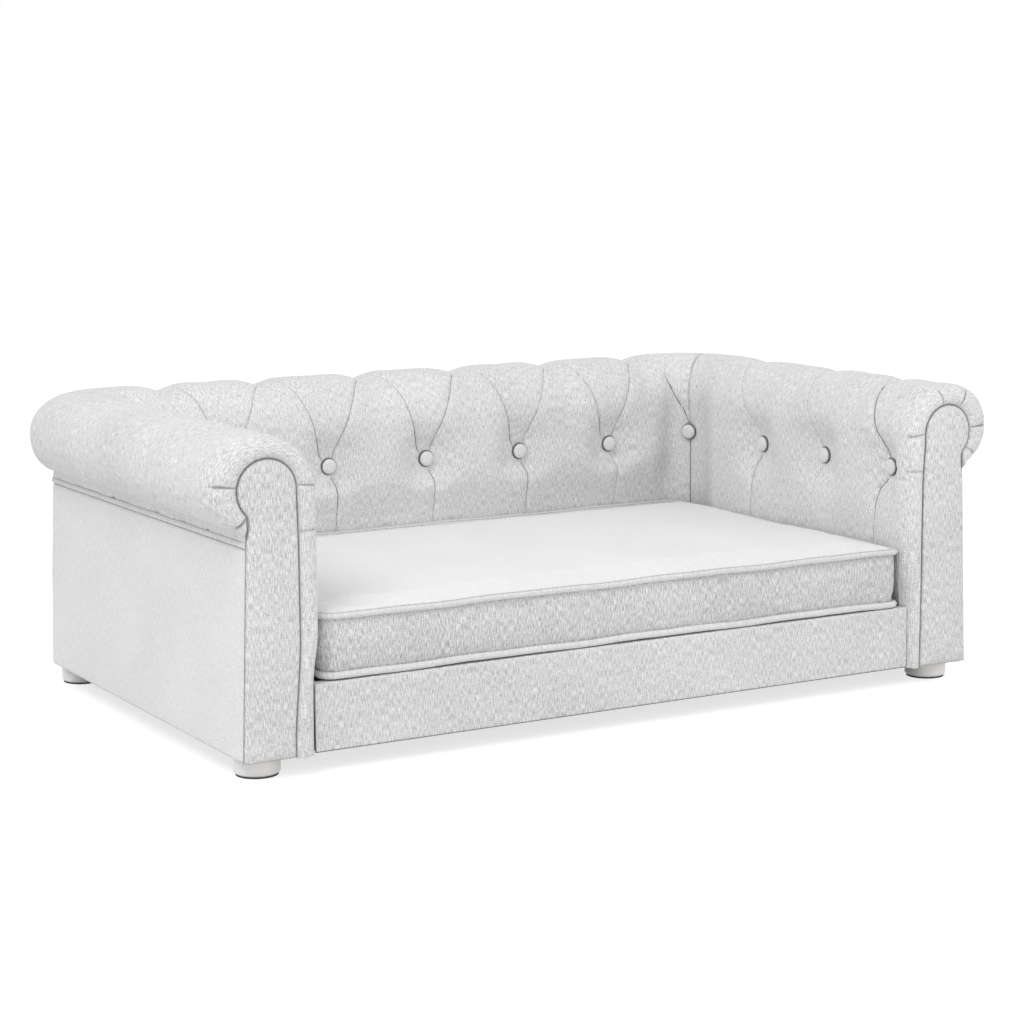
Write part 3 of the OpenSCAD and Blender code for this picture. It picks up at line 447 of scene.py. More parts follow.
def corner_columns(valley, across_end, out_there, fold_share):
    """Distances of a corner's columns from its mitre, past the upright fold, out to the last valley."""
    arc = (CORNER_R + IN_U * CORNER_DENT) * math.pi / 4
    length = across_end + out_there - CORNER_R - valley + arc
    fold = arc * fold_share
    share = (RUN - ARM_BUTTON_Z) / (CREST_V - ARM_BUTTON_Z)
    first = 0.0015
    past = np.clip(share, 0, 1) if fold_share else np.clip((share - MITRE_SHARE) / (1 - MITRE_SHARE), 0, 1)
    leg = fold + first + 0.85 * (length - fold - first) * past
    inner, outer = fold[:, None] + gathered(leg - fold, 6), leg[:, None] + gathered(length - leg, 7)
    columns = [inner, outer[:, 1:]]
    cross = fold * (0.92 - 0.84 * np.clip((share - 0.05) / (MITRE_SHARE - 0.05), 0, 1))
    if fold_share:
        to_cross = cross[:, None] * np.array([0, 0.35, 0.70, 0.90])
        to_fold = cross[:, None] + (fold - cross)[:, None] * np.array([0, 0.10, 0.30, 0.65])
        columns = [to_cross, to_fold, *columns]
    return np.concatenate(columns, 1), leg, cross, fold, length, share


def corner_wall(valley, across_end, out_here, out_there, pleat, recess, dip, fold_share):
    """A wall from a rear corner's mitre to its last valley: along, across, up, fold marks of painted shade,
    places, length.
    """
    q, leg, cross, fold, length, share = corner_columns(valley, across_end, out_there, fold_share)
    run = RUN[:, None]
    above = share[:, None]
    gap = (q - leg[:, None]) * 0.9
    from_share = 0.04 if fold_share else MITRE_SHARE - 0.01
    live = smooth((above - from_share) / 0.03) * (1 - smooth((above - 0.52) / 0.22))
    groove = pleat * live * crease(gap, 0.0028, 0.006, 0.0024, 0.0011)
    # line is painted shade along the pleat, the upright fold and the crossing fold.
    line = pleat * live * (np.abs(gap) < 0.0004)
    if fold_share:
        off_fold = np.abs(q - fold[:, None])
        tuck = np.where(run < CREST_V - 0.015, 1.0, bell(run - CREST_V + 0.015, 0.035))
        tuck = tuck * lerp(1, 0.5, smooth((run - ARM_BUTTON_Z) / 0.02))
        groove = groove + tuck * crease(off_fold, 0.0012, 0.005, 0.0022, 0.0011)
        line = line + 0.85 * tuck * (off_fold < 0.0004)
        off_cross = np.abs(q - cross[:, None])
        crossing = 0.95 * smooth((above - 0.04) / 0.03) * (1 - smooth((above - MITRE_SHARE + 0.01) / 0.03))
        groove = groove + crossing * crease(off_cross, 0.0010, 0.004, 0.0020, 0.0011)
        line = np.maximum(line, crossing * (off_cross < 0.0004))
    seam = length[:, None] - q
    over = bell(run - CREST_V - 0.012, 0.050)
    groove = groove + over * crease(seam, 0.0012, 0.007, 0.0010, 0.0015)
    middle = np.sin(math.pi * np.clip(q / length[:, None], 0, 1)) ** 2
    groove = groove - 0.0018 * middle * bell(above - 0.5, 0.5)
    near = smooth(seam / CORNER_BLEND)
    hollow = np.maximum(dip * bell(seam, DIP_W) * bell(run - CREST_V, DIP_REACH), recess[:, None])
    total = (lerp(hollow, CORNER_DENT[:, None], near) + groove) * (run < DENT_END_V)
    along, across = corner_path(q, out_here, out_there, total, across_end)
    return along, across, UP[:, None] + IN_Z[:, None] * total, line, q, length


def recess_of(depth, low, high, up=UP):
    """How far a wall's face stands back for the cushion: its full depth up to low, and nothing from high."""
    return depth * (1 - smooth((up - low) / (high - low))) * (RUN < SHOULDER_Z)


ARM_RECESS = recess_of(*ARM_RECESS_SIZES)
BACK_RECESS = recess_of(*BACK_RECESS_SIZES)


def deeper(one, other):
    """The deeper of two hollows, with a soft change from one to the other."""
    return (one ** 3 + other ** 3) ** (1 / 3)


def closed_pad(outer, core, uv, fold):
    """Joins the outer rows and the core's rows of a pad into one tube, which sewn() welds and closes."""
    points = np.concatenate([outer, core, outer[:1]], 0)
    more = points.shape[0] - outer.shape[0]
    uv = np.concatenate([uv, np.repeat(uv[-1:], more - 1, 0), uv[:1]], 0)
    fold = np.concatenate([fold, np.zeros((more, fold.shape[1]))], 0)
    return points, uv, fold


def roll_wrinkles(s, places, seed):
    """Faint upright wrinkles where the cloth is pulled round the outside of a roll."""
    run = RUN[:, None]
    live = smooth((run - CREST_TOP_V - 0.015) / 0.03)
    total = 0
    for number, place in enumerate(places):
        bend = 0.010 * np.sin((run - CREST_TOP_V) / 0.14 * math.pi + number)
        off = np.abs(s - place - bend)
        total = total + crease(off, 0.0014, 0.0050, 0.0008, 0.0020)
    return total * live + 0.0005 * unevenness(s, run * 0.6, seed, 0.06) * smooth((run - 0.20) / 0.05)


# The rounding at the arms' front edges, from the facing's groove to the arm's full profile
BAND_STEPS = np.linspace(0, 1, 17)
BAND_KNOTS = np.linspace(0, 1, 7)
BAND_DEPTHS = np.array([0.25, 0.07, 0.02, 0.09, 0.34, 0.68, 1])
BAND_OUTS = np.array([0, 0.1, 0.3, 0.6, 0.85, 0.97, 1])
INNER_EDGES = {"left": (0.0325, 0.0250), "right": (0.0220, 0.0232)}
# Small darts round the facings' heads: angle in degrees, strength
DARTS = {
    "left": ((10, 0.9), (-45, 1.0), (172, 0.8)),
    "right": ((105, 0.8), (62, 0.9), (8, 1.0), (178, 0.7), (-35, 0.8)),
}


def inner_edge(side, z):
    """How far a facing's inner edge lies past the arm's inner face. It differs a little on the two arms."""
    foot, middle = INNER_EDGES[side]
    lower = lerp(foot, middle, smooth((z - FOOT_Z) / 0.13))
    return lerp(lower, HEAD_U - FACING_R, smooth((z - 0.235) / 0.055))


def flared(z):
    """How far the body's side stands out at a height, past its line at the seam under the rolls."""
    return BODY_FLARE * (1 - np.clip((z - FOOT_Z) / (TAIL_Z - FOOT_Z), 0, 1))


def facing_outline(side, off, face_up):
    """Edge of the keyhole facing at each row of the arm's profile: out and up."""
    out, up = np.empty(ROWS), np.empty(ROWS)
    radius = FACING_R + off
    for row in range(ROWS):
        if RUN[row] < SHOULDER_Z:
            out[row], up[row] = inner_edge(side, face_up[row]) - off, face_up[row]
        else:
            share = np.clip((RUN[row] - SHOULDER_Z) / (ROLL_END_V - SHOULDER_Z), 0, 1)
            angle = math.radians(lerp(180, -53, share))
            out[row], up[row] = HEAD_U + radius * math.cos(angle), HEAD_Z + radius * math.sin(angle)
    tail = RUN > CREST_TOP_V + ROLL_R * 2.7
    count = tail.sum()
    share = np.linspace(0, 1, count)
    first = np.argmax(tail)
    out[tail] = lerp(out[first], ARM_SIDE_U - 0.0006 + 0.3 * off, smooth(share))
    up[tail] = lerp(up[first], TAIL_Z, share)
    return out, up


def band_columns(side):
    """The arm's front edge: from the facing's groove over the rounding to the arm's full profile."""
    full_out, full_up, in_u, in_z = padded_profile(ARM_SIDE_U, FOOT_Z)[1:]
    recess = recess_of(*ARM_RECESS_SIZES, full_up)
    depth = np.interp(BAND_STEPS, BAND_KNOTS, BAND_DEPTHS)
    outs = np.interp(BAND_STEPS, BAND_KNOTS, BAND_OUTS)
    for _ in range(2):
        depth[1:-1] = (depth[:-2] + 2 * depth[1:-1] + depth[2:]) / 4
        outs[1:-1] = (outs[:-2] + 2 * outs[1:-1] + outs[2:]) / 4
    edge_out, edge_up = facing_outline(side, 0.0007, full_up)
    dart = np.zeros(ROWS)
    for angle, strength in DARTS[side]:
        share = (180 - angle) / (180 + 53)
        place = SHOULDER_Z + share * (ROLL_END_V - SHOULDER_Z)
        row = int(np.argmin(np.abs(RUN - place)))
        dart[row] = max(dart[row], strength)
    dart[int(np.argmin(np.abs(RUN - ARM_BUTTON_Z)))] = 0.55
    dart_sides = np.convolve(dart, [0.35, 0, 0.35], "same")
    tail = RUN > ROLL_END_V
    columns, fold = [], []
    for step, (deep, out) in enumerate(zip(depth, outs)):
        y = FRONT_Y + BAND_D * deep
        if step < 3:
            y = min(y, FACING_Y - 0.0003)
        reach = smooth(out / 0.12) * (1 - smooth((out - 0.72) / 0.25))
        dent = (dart + dart_sides) * reach * 0.0022
        puff = 0.0010 * math.sin(math.pi * out) * (1 + 0.4 * unevenness(RUN, RUN * 0 + out * 0.02, 5, 0.05))
        u = lerp(edge_out, full_out + in_u * recess, out) + in_u * (dent * 0.6 - puff * 0.5)
        z = lerp(edge_up, full_up, out) + in_z * (dent * 0.6 - puff * 0.5)
        tail_y = lerp(FACING_Y, FRONT_Y + BAND_D, step / (len(outs) - 1))
        ys = np.full(ROWS, y) + dent * 0.8 - puff * 0.4
        ys = np.where(tail, lerp(ys, tail_y, smooth((RUN - ROLL_END_V) / 0.010)), ys)
        columns.append(np.stack([INNER_X + u, ys, z], -1))
        # Painted shade in the darts and along the band's edge in the facing's groove.
        rim = 0.7 if step == 0 else 0
        fold.append(dart * reach * 0.75 + rim)
    return np.stack(columns, 1), np.stack(fold, 1)


def arm_pad(side, pleats):
    """One arm's tufted cover, from the band round its facing over the wall and the roll to the rear mitre."""
    band, band_fold = band_columns(side)
    first = FRONT_Y + BAND_D + 0.0005
    cells = [(ARM_BUTTONS[0], -1, ARM_BUTTONS[0] - first, upright, 0.0, pleats[0][1], 0.018)]
    for number, (leg, drop) in enumerate(pleats):
        button, valley = ARM_BUTTONS[number], ARM_VALLEYS[number]
        shift = 0.012 if number else 0.018
        if number:
            cells.append((button, -1, button - ARM_VALLEYS[number - 1], straight, 0.35 * leg, drop, shift))
        cells.append((button, 1, valley - button, bowed, leg, drop, shift))
    s, dent, fold = strips(cells, ARM_BUTTON_Z)
    soft = soft_dents(s, ARM_BUTTON_Z, ARM_BUTTONS, ARM_VALLEYS, ARM_DIP)
    total = (deeper(soft, ARM_RECESS[:, None]) + dent) * (RUN < DENT_END_V)[:, None]
    near_front = smooth((s - first) / 0.020)
    front_pleat = 0.0020 * bell(RUN[:, None] - ARM_BUTTON_Z, 0.003) * (s < ARM_BUTTONS[0])
    front_pleat = front_pleat * (1 - near_front * 0.3)
    total = lerp(ARM_RECESS[:, None] + 0 * total, total, near_front) + front_pleat
    seed = 11 if side == "left" else 23
    total = total + roll_wrinkles(s, (0.073, -0.047, -0.120, -0.195), seed)
    out, up = ARM_OUT[:, None] + IN_U[:, None] * total, UP[:, None] + IN_Z[:, None] * total
    wall = np.stack([INNER_X + out, s, up], -1)
    along, across, up, line, q, length = corner_wall(
        ARM_VALLEYS[2], INNER_Y, ARM_OUT, BACK_OUT, 0.15, ARM_RECESS, ARM_DIP, 1 / 3)
    extra = roll_wrinkles(along, (0.177,), seed) * smooth((q - 0.012) / 0.02)
    corner = np.stack([INNER_X + across + IN_U[:, None] * extra, along, up + IN_Z[:, None] * extra], -1)
    corner, line, q = corner[:, ::-1], line[:, ::-1], q[:, ::-1]
    outer = np.concatenate([band, wall, corner[:, 1:]], 1)
    fold = np.concatenate([band_fold, fold, line[:, 1:]], 1)
    end = s[:, -1:] + length[:, None] - q
    band_s = np.broadcast_to(first - 0.030 * (1 - BAND_STEPS), (ROWS, len(BAND_STEPS)))
    cloth_s = np.concatenate([band_s, s, end[:, 1:]], 1)
    uv = np.stack([cloth_s, np.broadcast_to(RUN[:, None], cloth_s.shape)], -1)
    low, high = core_profile(ARM_SIDE_U, FOOT_Z), core_profile(ARM_SIDE_U, PLATFORM_Z)
    back_core = core_profile(BACK_SIDE_U, PLATFORM_Z)
    core = np.empty((len(low), outer.shape[1], 3))
    bands = len(BAND_STEPS)
    for column in range(outer.shape[1]):
        rows = low if column < bands else high
        y = outer[:, column, 1]
        middle = float(np.clip(y[len(y) // 3], FACING_Y, INNER_Y))
        core[:, column] = np.stack([INNER_X + rows[:, 0], np.full(len(rows), middle), rows[:, 1]], -1)
        if column < bands:
            core[:, column, 1] = lerp(FACING_Y, FRONT_Y + BAND_D, BAND_STEPS[column])
    share = smooth((np.arange(outer.shape[1]) - (outer.shape[1] - q.shape[1])) / (q.shape[1] - 1))
    core[:, :, 1] = lerp(core[:, :, 1], (INNER_Y + back_core[:, 0])[:, None], share[None, :] ** 2)
    points, uv, fold = closed_pad(outer, core, uv, fold)
    if side == "left":
        points = mirrored_points(points)
    return sewn(f"{side}_arm_tufting", points, PAD_LINEN, uv, fold)


def back_pad():
    """The back's tufted cover between the two rear mitres."""
    cells = []
    pleats = ((0.9, 0.5, 0.8), (0.75, 0.55, 0.9), (1.0, 0.6, 0.7), (0.95, 0.45, 0.75), (0.95, 0.5, 0.45))
    for number, (left, right, drop) in enumerate(pleats):
        button = BACK_BUTTONS[number]
        cells.append((button, -1, button - BACK_VALLEYS[number], short, left, drop, 0.010))
        cells.append((button, 1, BACK_VALLEYS[number + 1] - button, straight, right, drop, 0.010))
    s, dent, fold = strips(cells, BACK_BUTTON_Z)
    soft = soft_dents(s, BACK_BUTTON_Z, BACK_BUTTONS, BACK_VALLEYS, BACK_DIP)
    live = (RUN < DENT_END_V)[:, None]
    total = (deeper(soft, BACK_RECESS[:, None]) + dent) * live
    total = total + roll_wrinkles(s, (-0.28, -0.12, 0.05, 0.22), 37)
    out, up = BACK_OUT[:, None] + IN_U[:, None] * total, UP[:, None] + IN_Z[:, None] * total
    wall = np.stack([s, INNER_Y + out, up], -1)
    corners = []
    for pleat in (0.75, 0.95):
        along, across, up, line, q, length = corner_wall(
            BACK_VALLEYS[5], INNER_X, BACK_OUT, ARM_OUT, pleat, BACK_RECESS, BACK_DIP, 0)
        extra = roll_wrinkles(along, (0.34,), 37) * smooth((q - 0.012) / 0.02)
        points = np.stack([along, INNER_Y + across + IN_U[:, None] * extra, up + IN_Z[:, None] * extra], -1)
        corners.append((points, line, q, length))
    (left, left_line, left_q, left_length), (right, right_line, right_q, right_length) = corners
    outer = np.concatenate([mirrored_points(left)[:, :-1], wall, right[:, ::-1][:, 1:]], 1)
    fold = np.concatenate([left_line[:, :-1], fold, right_line[:, ::-1][:, 1:]], 1)
    cloth_s = np.concatenate([s[:, :1] - left_length[:, None] + left_q[:, :-1], s,
                              (s[:, -1:] + right_length[:, None] - right_q[:, ::-1])[:, 1:]], 1)
    uv = np.stack([cloth_s, np.broadcast_to(RUN[:, None], cloth_s.shape)], -1)
    rows = core_profile(BACK_SIDE_U, PLATFORM_Z)
    arm_rows = core_profile(ARM_SIDE_U, PLATFORM_Z)
    count = outer.shape[1]
    core = np.empty((len(rows), count, 3))
    edge = left.shape[1] - 1
    for column in range(count):
        x = float(np.clip(outer[ROWS // 3, column, 0], -INNER_X, INNER_X))
        core[:, column] = np.stack([np.full(len(rows), x), INNER_Y + rows[:, 0], rows[:, 1]], -1)
    turn = smooth((np.arange(count) - (count - 1 - edge)) / edge) ** 2
    ends = INNER_X + arm_rows[:, 0]
    core[:, :, 0] = lerp(core[:, :, 0], ends[:, None], turn[None, :])
    core[:, :, 0] = lerp(core[:, :, 0], -ends[:, None], turn[None, ::-1])
    points, uv, fold = closed_pad(outer, core, uv, fold)
    return sewn("back_tufting", points, PAD_LINEN, uv, fold)


# Facings on the arm fronts
def facing(side):
    """A crowned keyhole panel: rings from its edge in the groove to a line up its middle."""
    sides = np.linspace(FOOT_Z + 0.0005, 0.244, 46)
    head_left = np.radians(np.linspace(180, 90, 18))
    head_right = np.radians(np.linspace(90, -53, 30))
    head = np.concatenate([head_left, head_right[1:]])
    lower = [(inner_edge(side, z), z) for z in sides]
    lower += [(inner_edge(side, z), z) for z in np.linspace(0.244, HEAD_Z, 14)[1:-1]]
    curve = [(HEAD_U + FACING_R * math.cos(a), HEAD_Z + FACING_R * math.sin(a)) for a in head]
    neck = [(ARM_SIDE_U - 0.0040, 0.256), (ARM_SIDE_U - 0.0022, 0.250)]
    down = [(ARM_SIDE_U + flared(z), z) for z in sides[::-1]]
    foot = [(lerp(down[-1][0], lower[0][0], t), FOOT_Z + 0.0005) for t in np.linspace(0, 1, 14)[1:]]
    edge = np.array(lower + curve + neck + down + foot)
    for _ in range(3):
        at_neck = (edge[1:-1, 1] > 0.236) & (edge[1:-1, 1] < 0.275) & (edge[1:-1, 0] > 0.05)
        mean = (edge[:-2] + 2 * edge[1:-1] + edge[2:]) / 4
        edge[1:-1][at_neck] = mean[at_neck]
    spine_z = np.clip(edge[:, 1], FOOT_Z + 0.028, HEAD_Z)
    spine = np.stack([lerp(0.0535, HEAD_U, smooth((spine_z - 0.22) / 0.07)), spine_z], -1)
    reach = np.linalg.norm(spine - edge, axis=1)
    shares = [np.minimum(1, ring / reach) for ring in (0, 0, 0.0006, 0.0016, 0.003, 0.005, 0.008, 0.012)]
    shares += [lerp(shares[-1], 1, part) for part in np.linspace(0, 1, 6)[1:]]
    points, marks, uvs = [], [], []
    for number, share in enumerate(shares):
        at = edge + (spine - edge) * share[:, None]
        inset = share * reach
        crown = 0.0041 * (1 - np.exp(-inset / 0.0024)) + 0.0011 * smooth(inset / 0.028)
        ripple = unevenness(at[:, 0], at[:, 1] * 0.5, 61 if side == "left" else 67, 0.05)
        crown = crown + 0.0004 * ripple * smooth(inset / 0.01)
        y = FACING_Y - 0.0004 - crown if number else np.full(len(edge), FACING_Y - 0.0001)
        points.append(np.stack([INNER_X + at[:, 0], y, at[:, 1]], -1))
        # Painted shade round the facing's edge, in its groove.
        marks.append(np.full(len(edge), 0.8 if number < 2 else 0.35 if number == 2 else 0))
        uvs.append(np.stack([at[:, 0], at[:, 1]], -1))
    points = np.stack(points, 0)
    if side == "left":
        points = mirrored_points(points)
    return sewn(f"{side}_facing_cloth", points, PANEL_LINEN, np.stack(uvs, 0), np.stack(marks, 0), crisp=75)


# Flat covers on the sides, the back and the front rail
def cover(name, path, low, high, thick, cloth, seed, front_round=0.0):
    """Cloth over wadding along a path of (x, y, out x, out y), leaning out to the foot, its edges rounded."""
    path = np.array(path)
    run = way_along(path[:, :2])
    r = min(thick, 0.004)
    turn = np.linspace(0, math.pi / 2, 6)
    heights = np.concatenate([low + r * (1 - np.cos(turn)), np.linspace(low + r, high - r, 50)[1:-1],
                              high - r + r * np.sin(turn)])
    depth = np.concatenate([thick - r + r * np.sin(turn), np.full(48, thick), thick - r + r * np.cos(turn)])
    along, up = np.meshgrid(run, heights)
    top_wave = unevenness(along, up * 0.3, seed + 1, 0.05) * (1 - smooth((high - up) / 0.05))
    wave = 0.0005 * unevenness(along, up, seed, 0.09) + 0.0004 * top_wave
    out = depth[:, None] + wave * smooth((up - low) / 0.02) * smooth((high - up) / 0.02)
    out = out - front_round * (1 - smooth(along / 0.020))
    x, y, out_x, out_y = path.T[:, None]
    points = np.stack([x + out_x * out, y + out_y * out, up], -1)
    points[..., 0] *= 1 + flared(up) / BODY_SIDE_X
    back = path[None, :, :2]
    top = np.concatenate([back, np.full((*back.shape[:2], 1), high)], -1)
    bottom = np.concatenate([back, np.full((*back.shape[:2], 1), low)], -1)
    points = np.concatenate([bottom, points, top, bottom], 0)
    uv = np.stack([along, up], -1)
    uv = np.concatenate([uv[:1], uv, uv[-1:], uv[:1]], 0)
    marks = np.zeros(points.shape[:2])
    # Painted shade along the cover's bottom edge.
    marks[:4] = 0.5
    return sewn(name, points, cloth, uv, marks, crisp=50)


def drawn_out(section, xs):
    """Points of a section of (y, z) drawn out to the places xs, and the way along the section."""
    shape = (len(section), xs.shape[-1])
    points = np.stack([np.broadcast_to(part, shape) for part in (xs, section[:, :1], section[:, 1:])], -1)
    return points, way_along(section)


def rail_cloth():
    """The front rail's cover: a flat front, turned over the rail's top edge and back to the platform."""
    front, board, rear, r = -0.2845, -0.2815, -0.2725, 0.003
    turn = np.linspace(0, math.pi / 2, 6)
    section = [(board, FOOT_Z)]
    section += [(front + r * (1 - math.sin(a)), FOOT_Z + r * (1 - math.cos(a))) for a in turn]
    section += [(front, z) for z in np.linspace(FOOT_Z + r, PLATFORM_Z - r, 26)[1:-1]]
    section += [(front + r * (1 - math.cos(a)), PLATFORM_Z - r + r * math.sin(a)) for a in turn]
    section += [(y, PLATFORM_Z) for y in np.linspace(front + r, rear, 6)[1:]]
    section += [(rear, PLATFORM_Z - 0.0010), (board, PLATFORM_Z - 0.0010), (board, FOOT_Z)]
    section = np.array(section)
    half = np.where(section[:, 0] > board + 1e-6, 0.3785, 0.3800)
    points, run = drawn_out(section, half[:, None] * np.linspace(-1, 1, 170)[None])
    face = smooth((points[..., 2] - FOOT_Z) / 0.012) * (section[:, :1] < front + r / 2)
    points[..., 1] += face * 0.0005 * unevenness(points[..., 0], points[..., 2], 79, 0.08)
    uv = np.stack([points[..., 0], np.broadcast_to(run[:, None], points.shape[:2])], -1)
    marks = np.zeros(points.shape[:2])
    # Painted shade along the rail cloth's foot.
    marks[:5] = 0.75
    return sewn("front_rail_cloth", points, PANEL_LINEN, uv, marks, crisp=50)


def side_path(side):
    near = np.linspace(FACING_Y, FACING_Y + 0.03, 12)
    ys = np.concatenate([near, np.linspace(near[-1], 0.265, 60)[1:]])
    way = 1 if side == "right" else -1
    return [(way * (INNER_X + ARM_SIDE_U - COVER_T), y, way, 0) for y in ys]


def back_path():
    turn = np.radians(np.linspace(180, 90, 12))
    x, y, r = INNER_X + ARM_SIDE_U, INNER_Y + BACK_SIDE_U, BODY_CORNER_R
    left = [(-(x - r) + (r - COVER_T) * ox, y - r + (r - COVER_T) * oy, ox, oy)
            for ox, oy in zip(np.cos(turn), np.sin(turn))]
    middle = [(px, y - COVER_T, 0, 1) for px in np.linspace(-(x - r), x - r, 110)[1:-1]]
    right = [(-px, py, -ox, oy) for px, py, ox, oy in left[::-1]]
    return left + middle + right


# Thin sheets under the cushion and under the base
def flat_cloth(name, low, high, z, cloth, facing_up, holes=()):
    """A sheet stretched between two plan corners, with square holes cut round the places in holes."""
    xs, ys = np.linspace(low[0], high[0], 120), np.linspace(low[1], high[1], 74)
    x, y = np.meshgrid(xs if facing_up else xs[::-1], ys)
    height = z + 0.0002 * unevenness(x, y, 97, 0.12)
    piece = sewn(name, np.stack([x, y, height], -1), cloth, np.stack([x, y], -1), closed=False)
    if holes:
        bpy.ops.object.mode_set(mode="EDIT")
        bpy.ops.mesh.select_mode(type="FACE")
        bpy.ops.mesh.select_all(action="DESELECT")
        bpy.ops.object.mode_set(mode="OBJECT")
        for face in piece.data.polygons:
            face.select = any(math.hypot(face.center.x - hx, face.center.y - hy) < 0.008 for hx, hy in holes)
        bpy.ops.object.mode_set(mode="EDIT")
        bpy.ops.mesh.delete(type="FACE")
        bpy.ops.mesh.select_mode(type="VERT")
        bpy.ops.object.mode_set(mode="OBJECT")
    return piece


# Zip along the rear boxing
def zip_strip():
    """The zip's two tapes, sewn flat, with a shallow channel between them."""
    section = np.array([
        (0.1829, 0.1178), (0.1840, 0.1178), (0.1841, 0.1190), (0.1841, 0.1262), (0.1835, 0.1272),
        (0.1835, 0.1301), (0.1841, 0.1311), (0.1841, 0.1383), (0.1840, 0.1395), (0.1829, 0.1395),
        (0.1829, 0.1178)])
    xs = np.linspace(-0.2798, 0.2798, 150)
    points, run = drawn_out(section, xs)
    uv = np.stack(np.meshgrid(xs, run), -1)
    # Painted shade in the channel between the tapes.
    marks = np.broadcast_to(np.isin(np.arange(len(section)), (4, 5))[:, None] * 0.5, points.shape[:2])
    return sewn("zip_tape_cloth", points, ZIP_CLOTH, uv, marks, crisp=40)


def zip_teeth():
    """Interlocked teeth: one pair is modelled and repeated along the zip."""
    pitch, count = 0.0026, 214
    let_go()
    parts = []
    for shift, z in ((0.0, 0.1280), (pitch / 2, 0.1293)):
        bpy.ops.mesh.primitive_cube_add(size=1)
        tooth = bpy.context.object
        for corner in tooth.data.vertices:
            x, y, up = corner.co
            wide = 0.0010 if up * (1 if shift else -1) > 0 else 0.0015
            corner.co = (x * wide - 0.2775 + shift, 0.18385 + y * 0.0007, z + up * 0.0028)
        rounded = tooth.modifiers.new("rounded", "BEVEL")
        rounded.width, rounded.segments = 0.0002, 2
        bpy.ops.object.modifier_apply(modifier=rounded.name)
        parts.append(tooth)
    for part in parts:
        part.select_set(True)
    bpy.context.view_layer.objects.active = parts[0]
    bpy.ops.object.join()
    teeth = bpy.context.object
    teeth.name = teeth.data.name = "zip_teeth"
    row = teeth.modifiers.new("row", "ARRAY")
    row.count, row.use_relative_offset, row.use_constant_offset = count, False, True
    row.constant_offset_displace = (pitch, 0, 0)
    bpy.ops.object.modifier_apply(modifier=row.name)
    bpy.ops.object.shade_smooth_by_angle(angle=math.radians(40))
    teeth.data.materials.clear()
    return teeth


# Round welts: cord wrapped in cloth
def welt(name, path, radius, cloth, seed, ring=False, sides=24, lines=(75, 105, 255, 285)):
    """A slightly uneven welt round a line of (x, y, z), with its seam's shadow at the angles in lines."""
    path = np.array(path, float)
    if ring:
        path = np.concatenate([path, path[:1]], 0)
    step = np.gradient(path, axis=0)
    if ring:
        step[0] = step[-1] = path[1] - path[-2]
    step = step / np.linalg.norm(step, axis=1)[:, None]
    run = way_along(path)
    out = np.cross(step, (0, 0, 1))
    out = out / np.linalg.norm(out, axis=1)[:, None]
    up = np.cross(out, step)
    wobble = 1 + 0.035 * unevenness(run, 0 * run, seed, 0.035)
    if ring:
        wobble = lerp(wobble, wobble[0], smooth((run - run[-1] + 0.05) / 0.05))
    rows = []
    for number in range(sides + 1):
        angle = 2 * math.pi * number / sides
        rows.append(path + (out * math.cos(angle) + up * math.sin(angle)) * (radius * wobble)[:, None])
    points = np.stack(rows, 0)
    turn = np.linspace(0, 2 * math.pi * radius, sides + 1)
    uv = np.stack(np.meshgrid(run, turn), -1)
    marks = np.zeros(points.shape[:2])
    marks[[round(angle * sides / 360) for angle in lines]] = 0.6
    return sewn(name, points, cloth, uv, marks)


def roll_welt_paths():
    """Middle lines of the right arm's welt and of the back's, which turns both rear corners."""
    x, y, r, z = 0.4527, 0.2747, 0.0097, 0.2405
    turn = np.radians(np.linspace(180, 90, 10))
    left = [(-(x - r) + r * math.cos(a), y - r + r * math.sin(a), z) for a in turn]
    middle = [(px, y, z) for px in np.linspace(-(x - r), x - r, 90)[1:-1]]
    back = left + middle + [(-px, py, pz) for px, py, pz in left[::-1]]
    arm = [(x, py, z) for py in np.linspace(FACING_Y + 0.0005, y - r, 80)]
    return arm, back


# Covered buttons
def button(node, seat, axis, seed):
    """A domed button, its cloth gathered under the rim. seat is the middle of its flat back."""
    profile = [
        (0, 0), (0.0060, 0.0), (0.0102, 0.0003), (0.0106, 0.0009), (0.0096, 0.0014), (0.0094, 0.0022),
        (0.0094, 0.0031), (0.0086, 0.0043), (0.0071, 0.0053), (0.0051, 0.0060), (0.0027, 0.0063), (0, 0.0064)]
    turns = np.linspace(0, 2 * math.pi, 49)
    axis = Vector(axis).normalized()
    side = axis.cross((0, 0, 1)).normalized()
    up = side.cross(axis)
    points = np.empty((len(profile), len(turns), 3))
    uv = np.empty((len(profile), len(turns), 2))
    marks = np.zeros((len(profile), len(turns)))
    for row, (radius, height) in enumerate(profile):
        gather = 1 + 0.012 * np.cos(18 * turns + seed) * smooth((radius - 0.0060) / 0.002) * (row < 7)
        across = radius * gather
        points[row] = (np.array(seat)[None] + np.array(axis)[None] * height
                       + np.array(side)[None] * (across * np.cos(turns))[:, None]
                       + np.array(up)[None] * (across * np.sin(turns))[:, None])
        uv[row] = np.stack([across * np.cos(turns), across * np.sin(turns)], -1)
        # Painted shade: the rim and the cloth under it are darkened as the seam's shadow round the button.
        marks[row] = 0.95 if row < 6 else 0.45 if row == 6 else 0
    dress(sewn(f"{node}_cloth", points, BUTTON_LINEN, uv, marks), "frame", "button_linen", node)


# Seat cushion
CUSHION_X, CUSHION_FRONT_Y, CUSHION_REAR_Y = 0.368, -0.2805, 0.1829
CUSHION_LEFT_R, CUSHION_RIGHT_R, CUSHION_REAR_R = 0.015, 0.009, 0.023
TOP_WELT_Z, BOTTOM_WELT_Z, CUSHION_FOOT_Z = 0.1585, 0.0988, 0.0923
CUSHION_REACH_X, CUSHION_REACH_Y, REAR_SLOPE = 0.3715, (-0.2845, 0.1860), 0.165
CLOTH_SIZE, STUFFING_PRESSURE, LARGEST_PUFF = 0.0058, 4.0, 0.0055


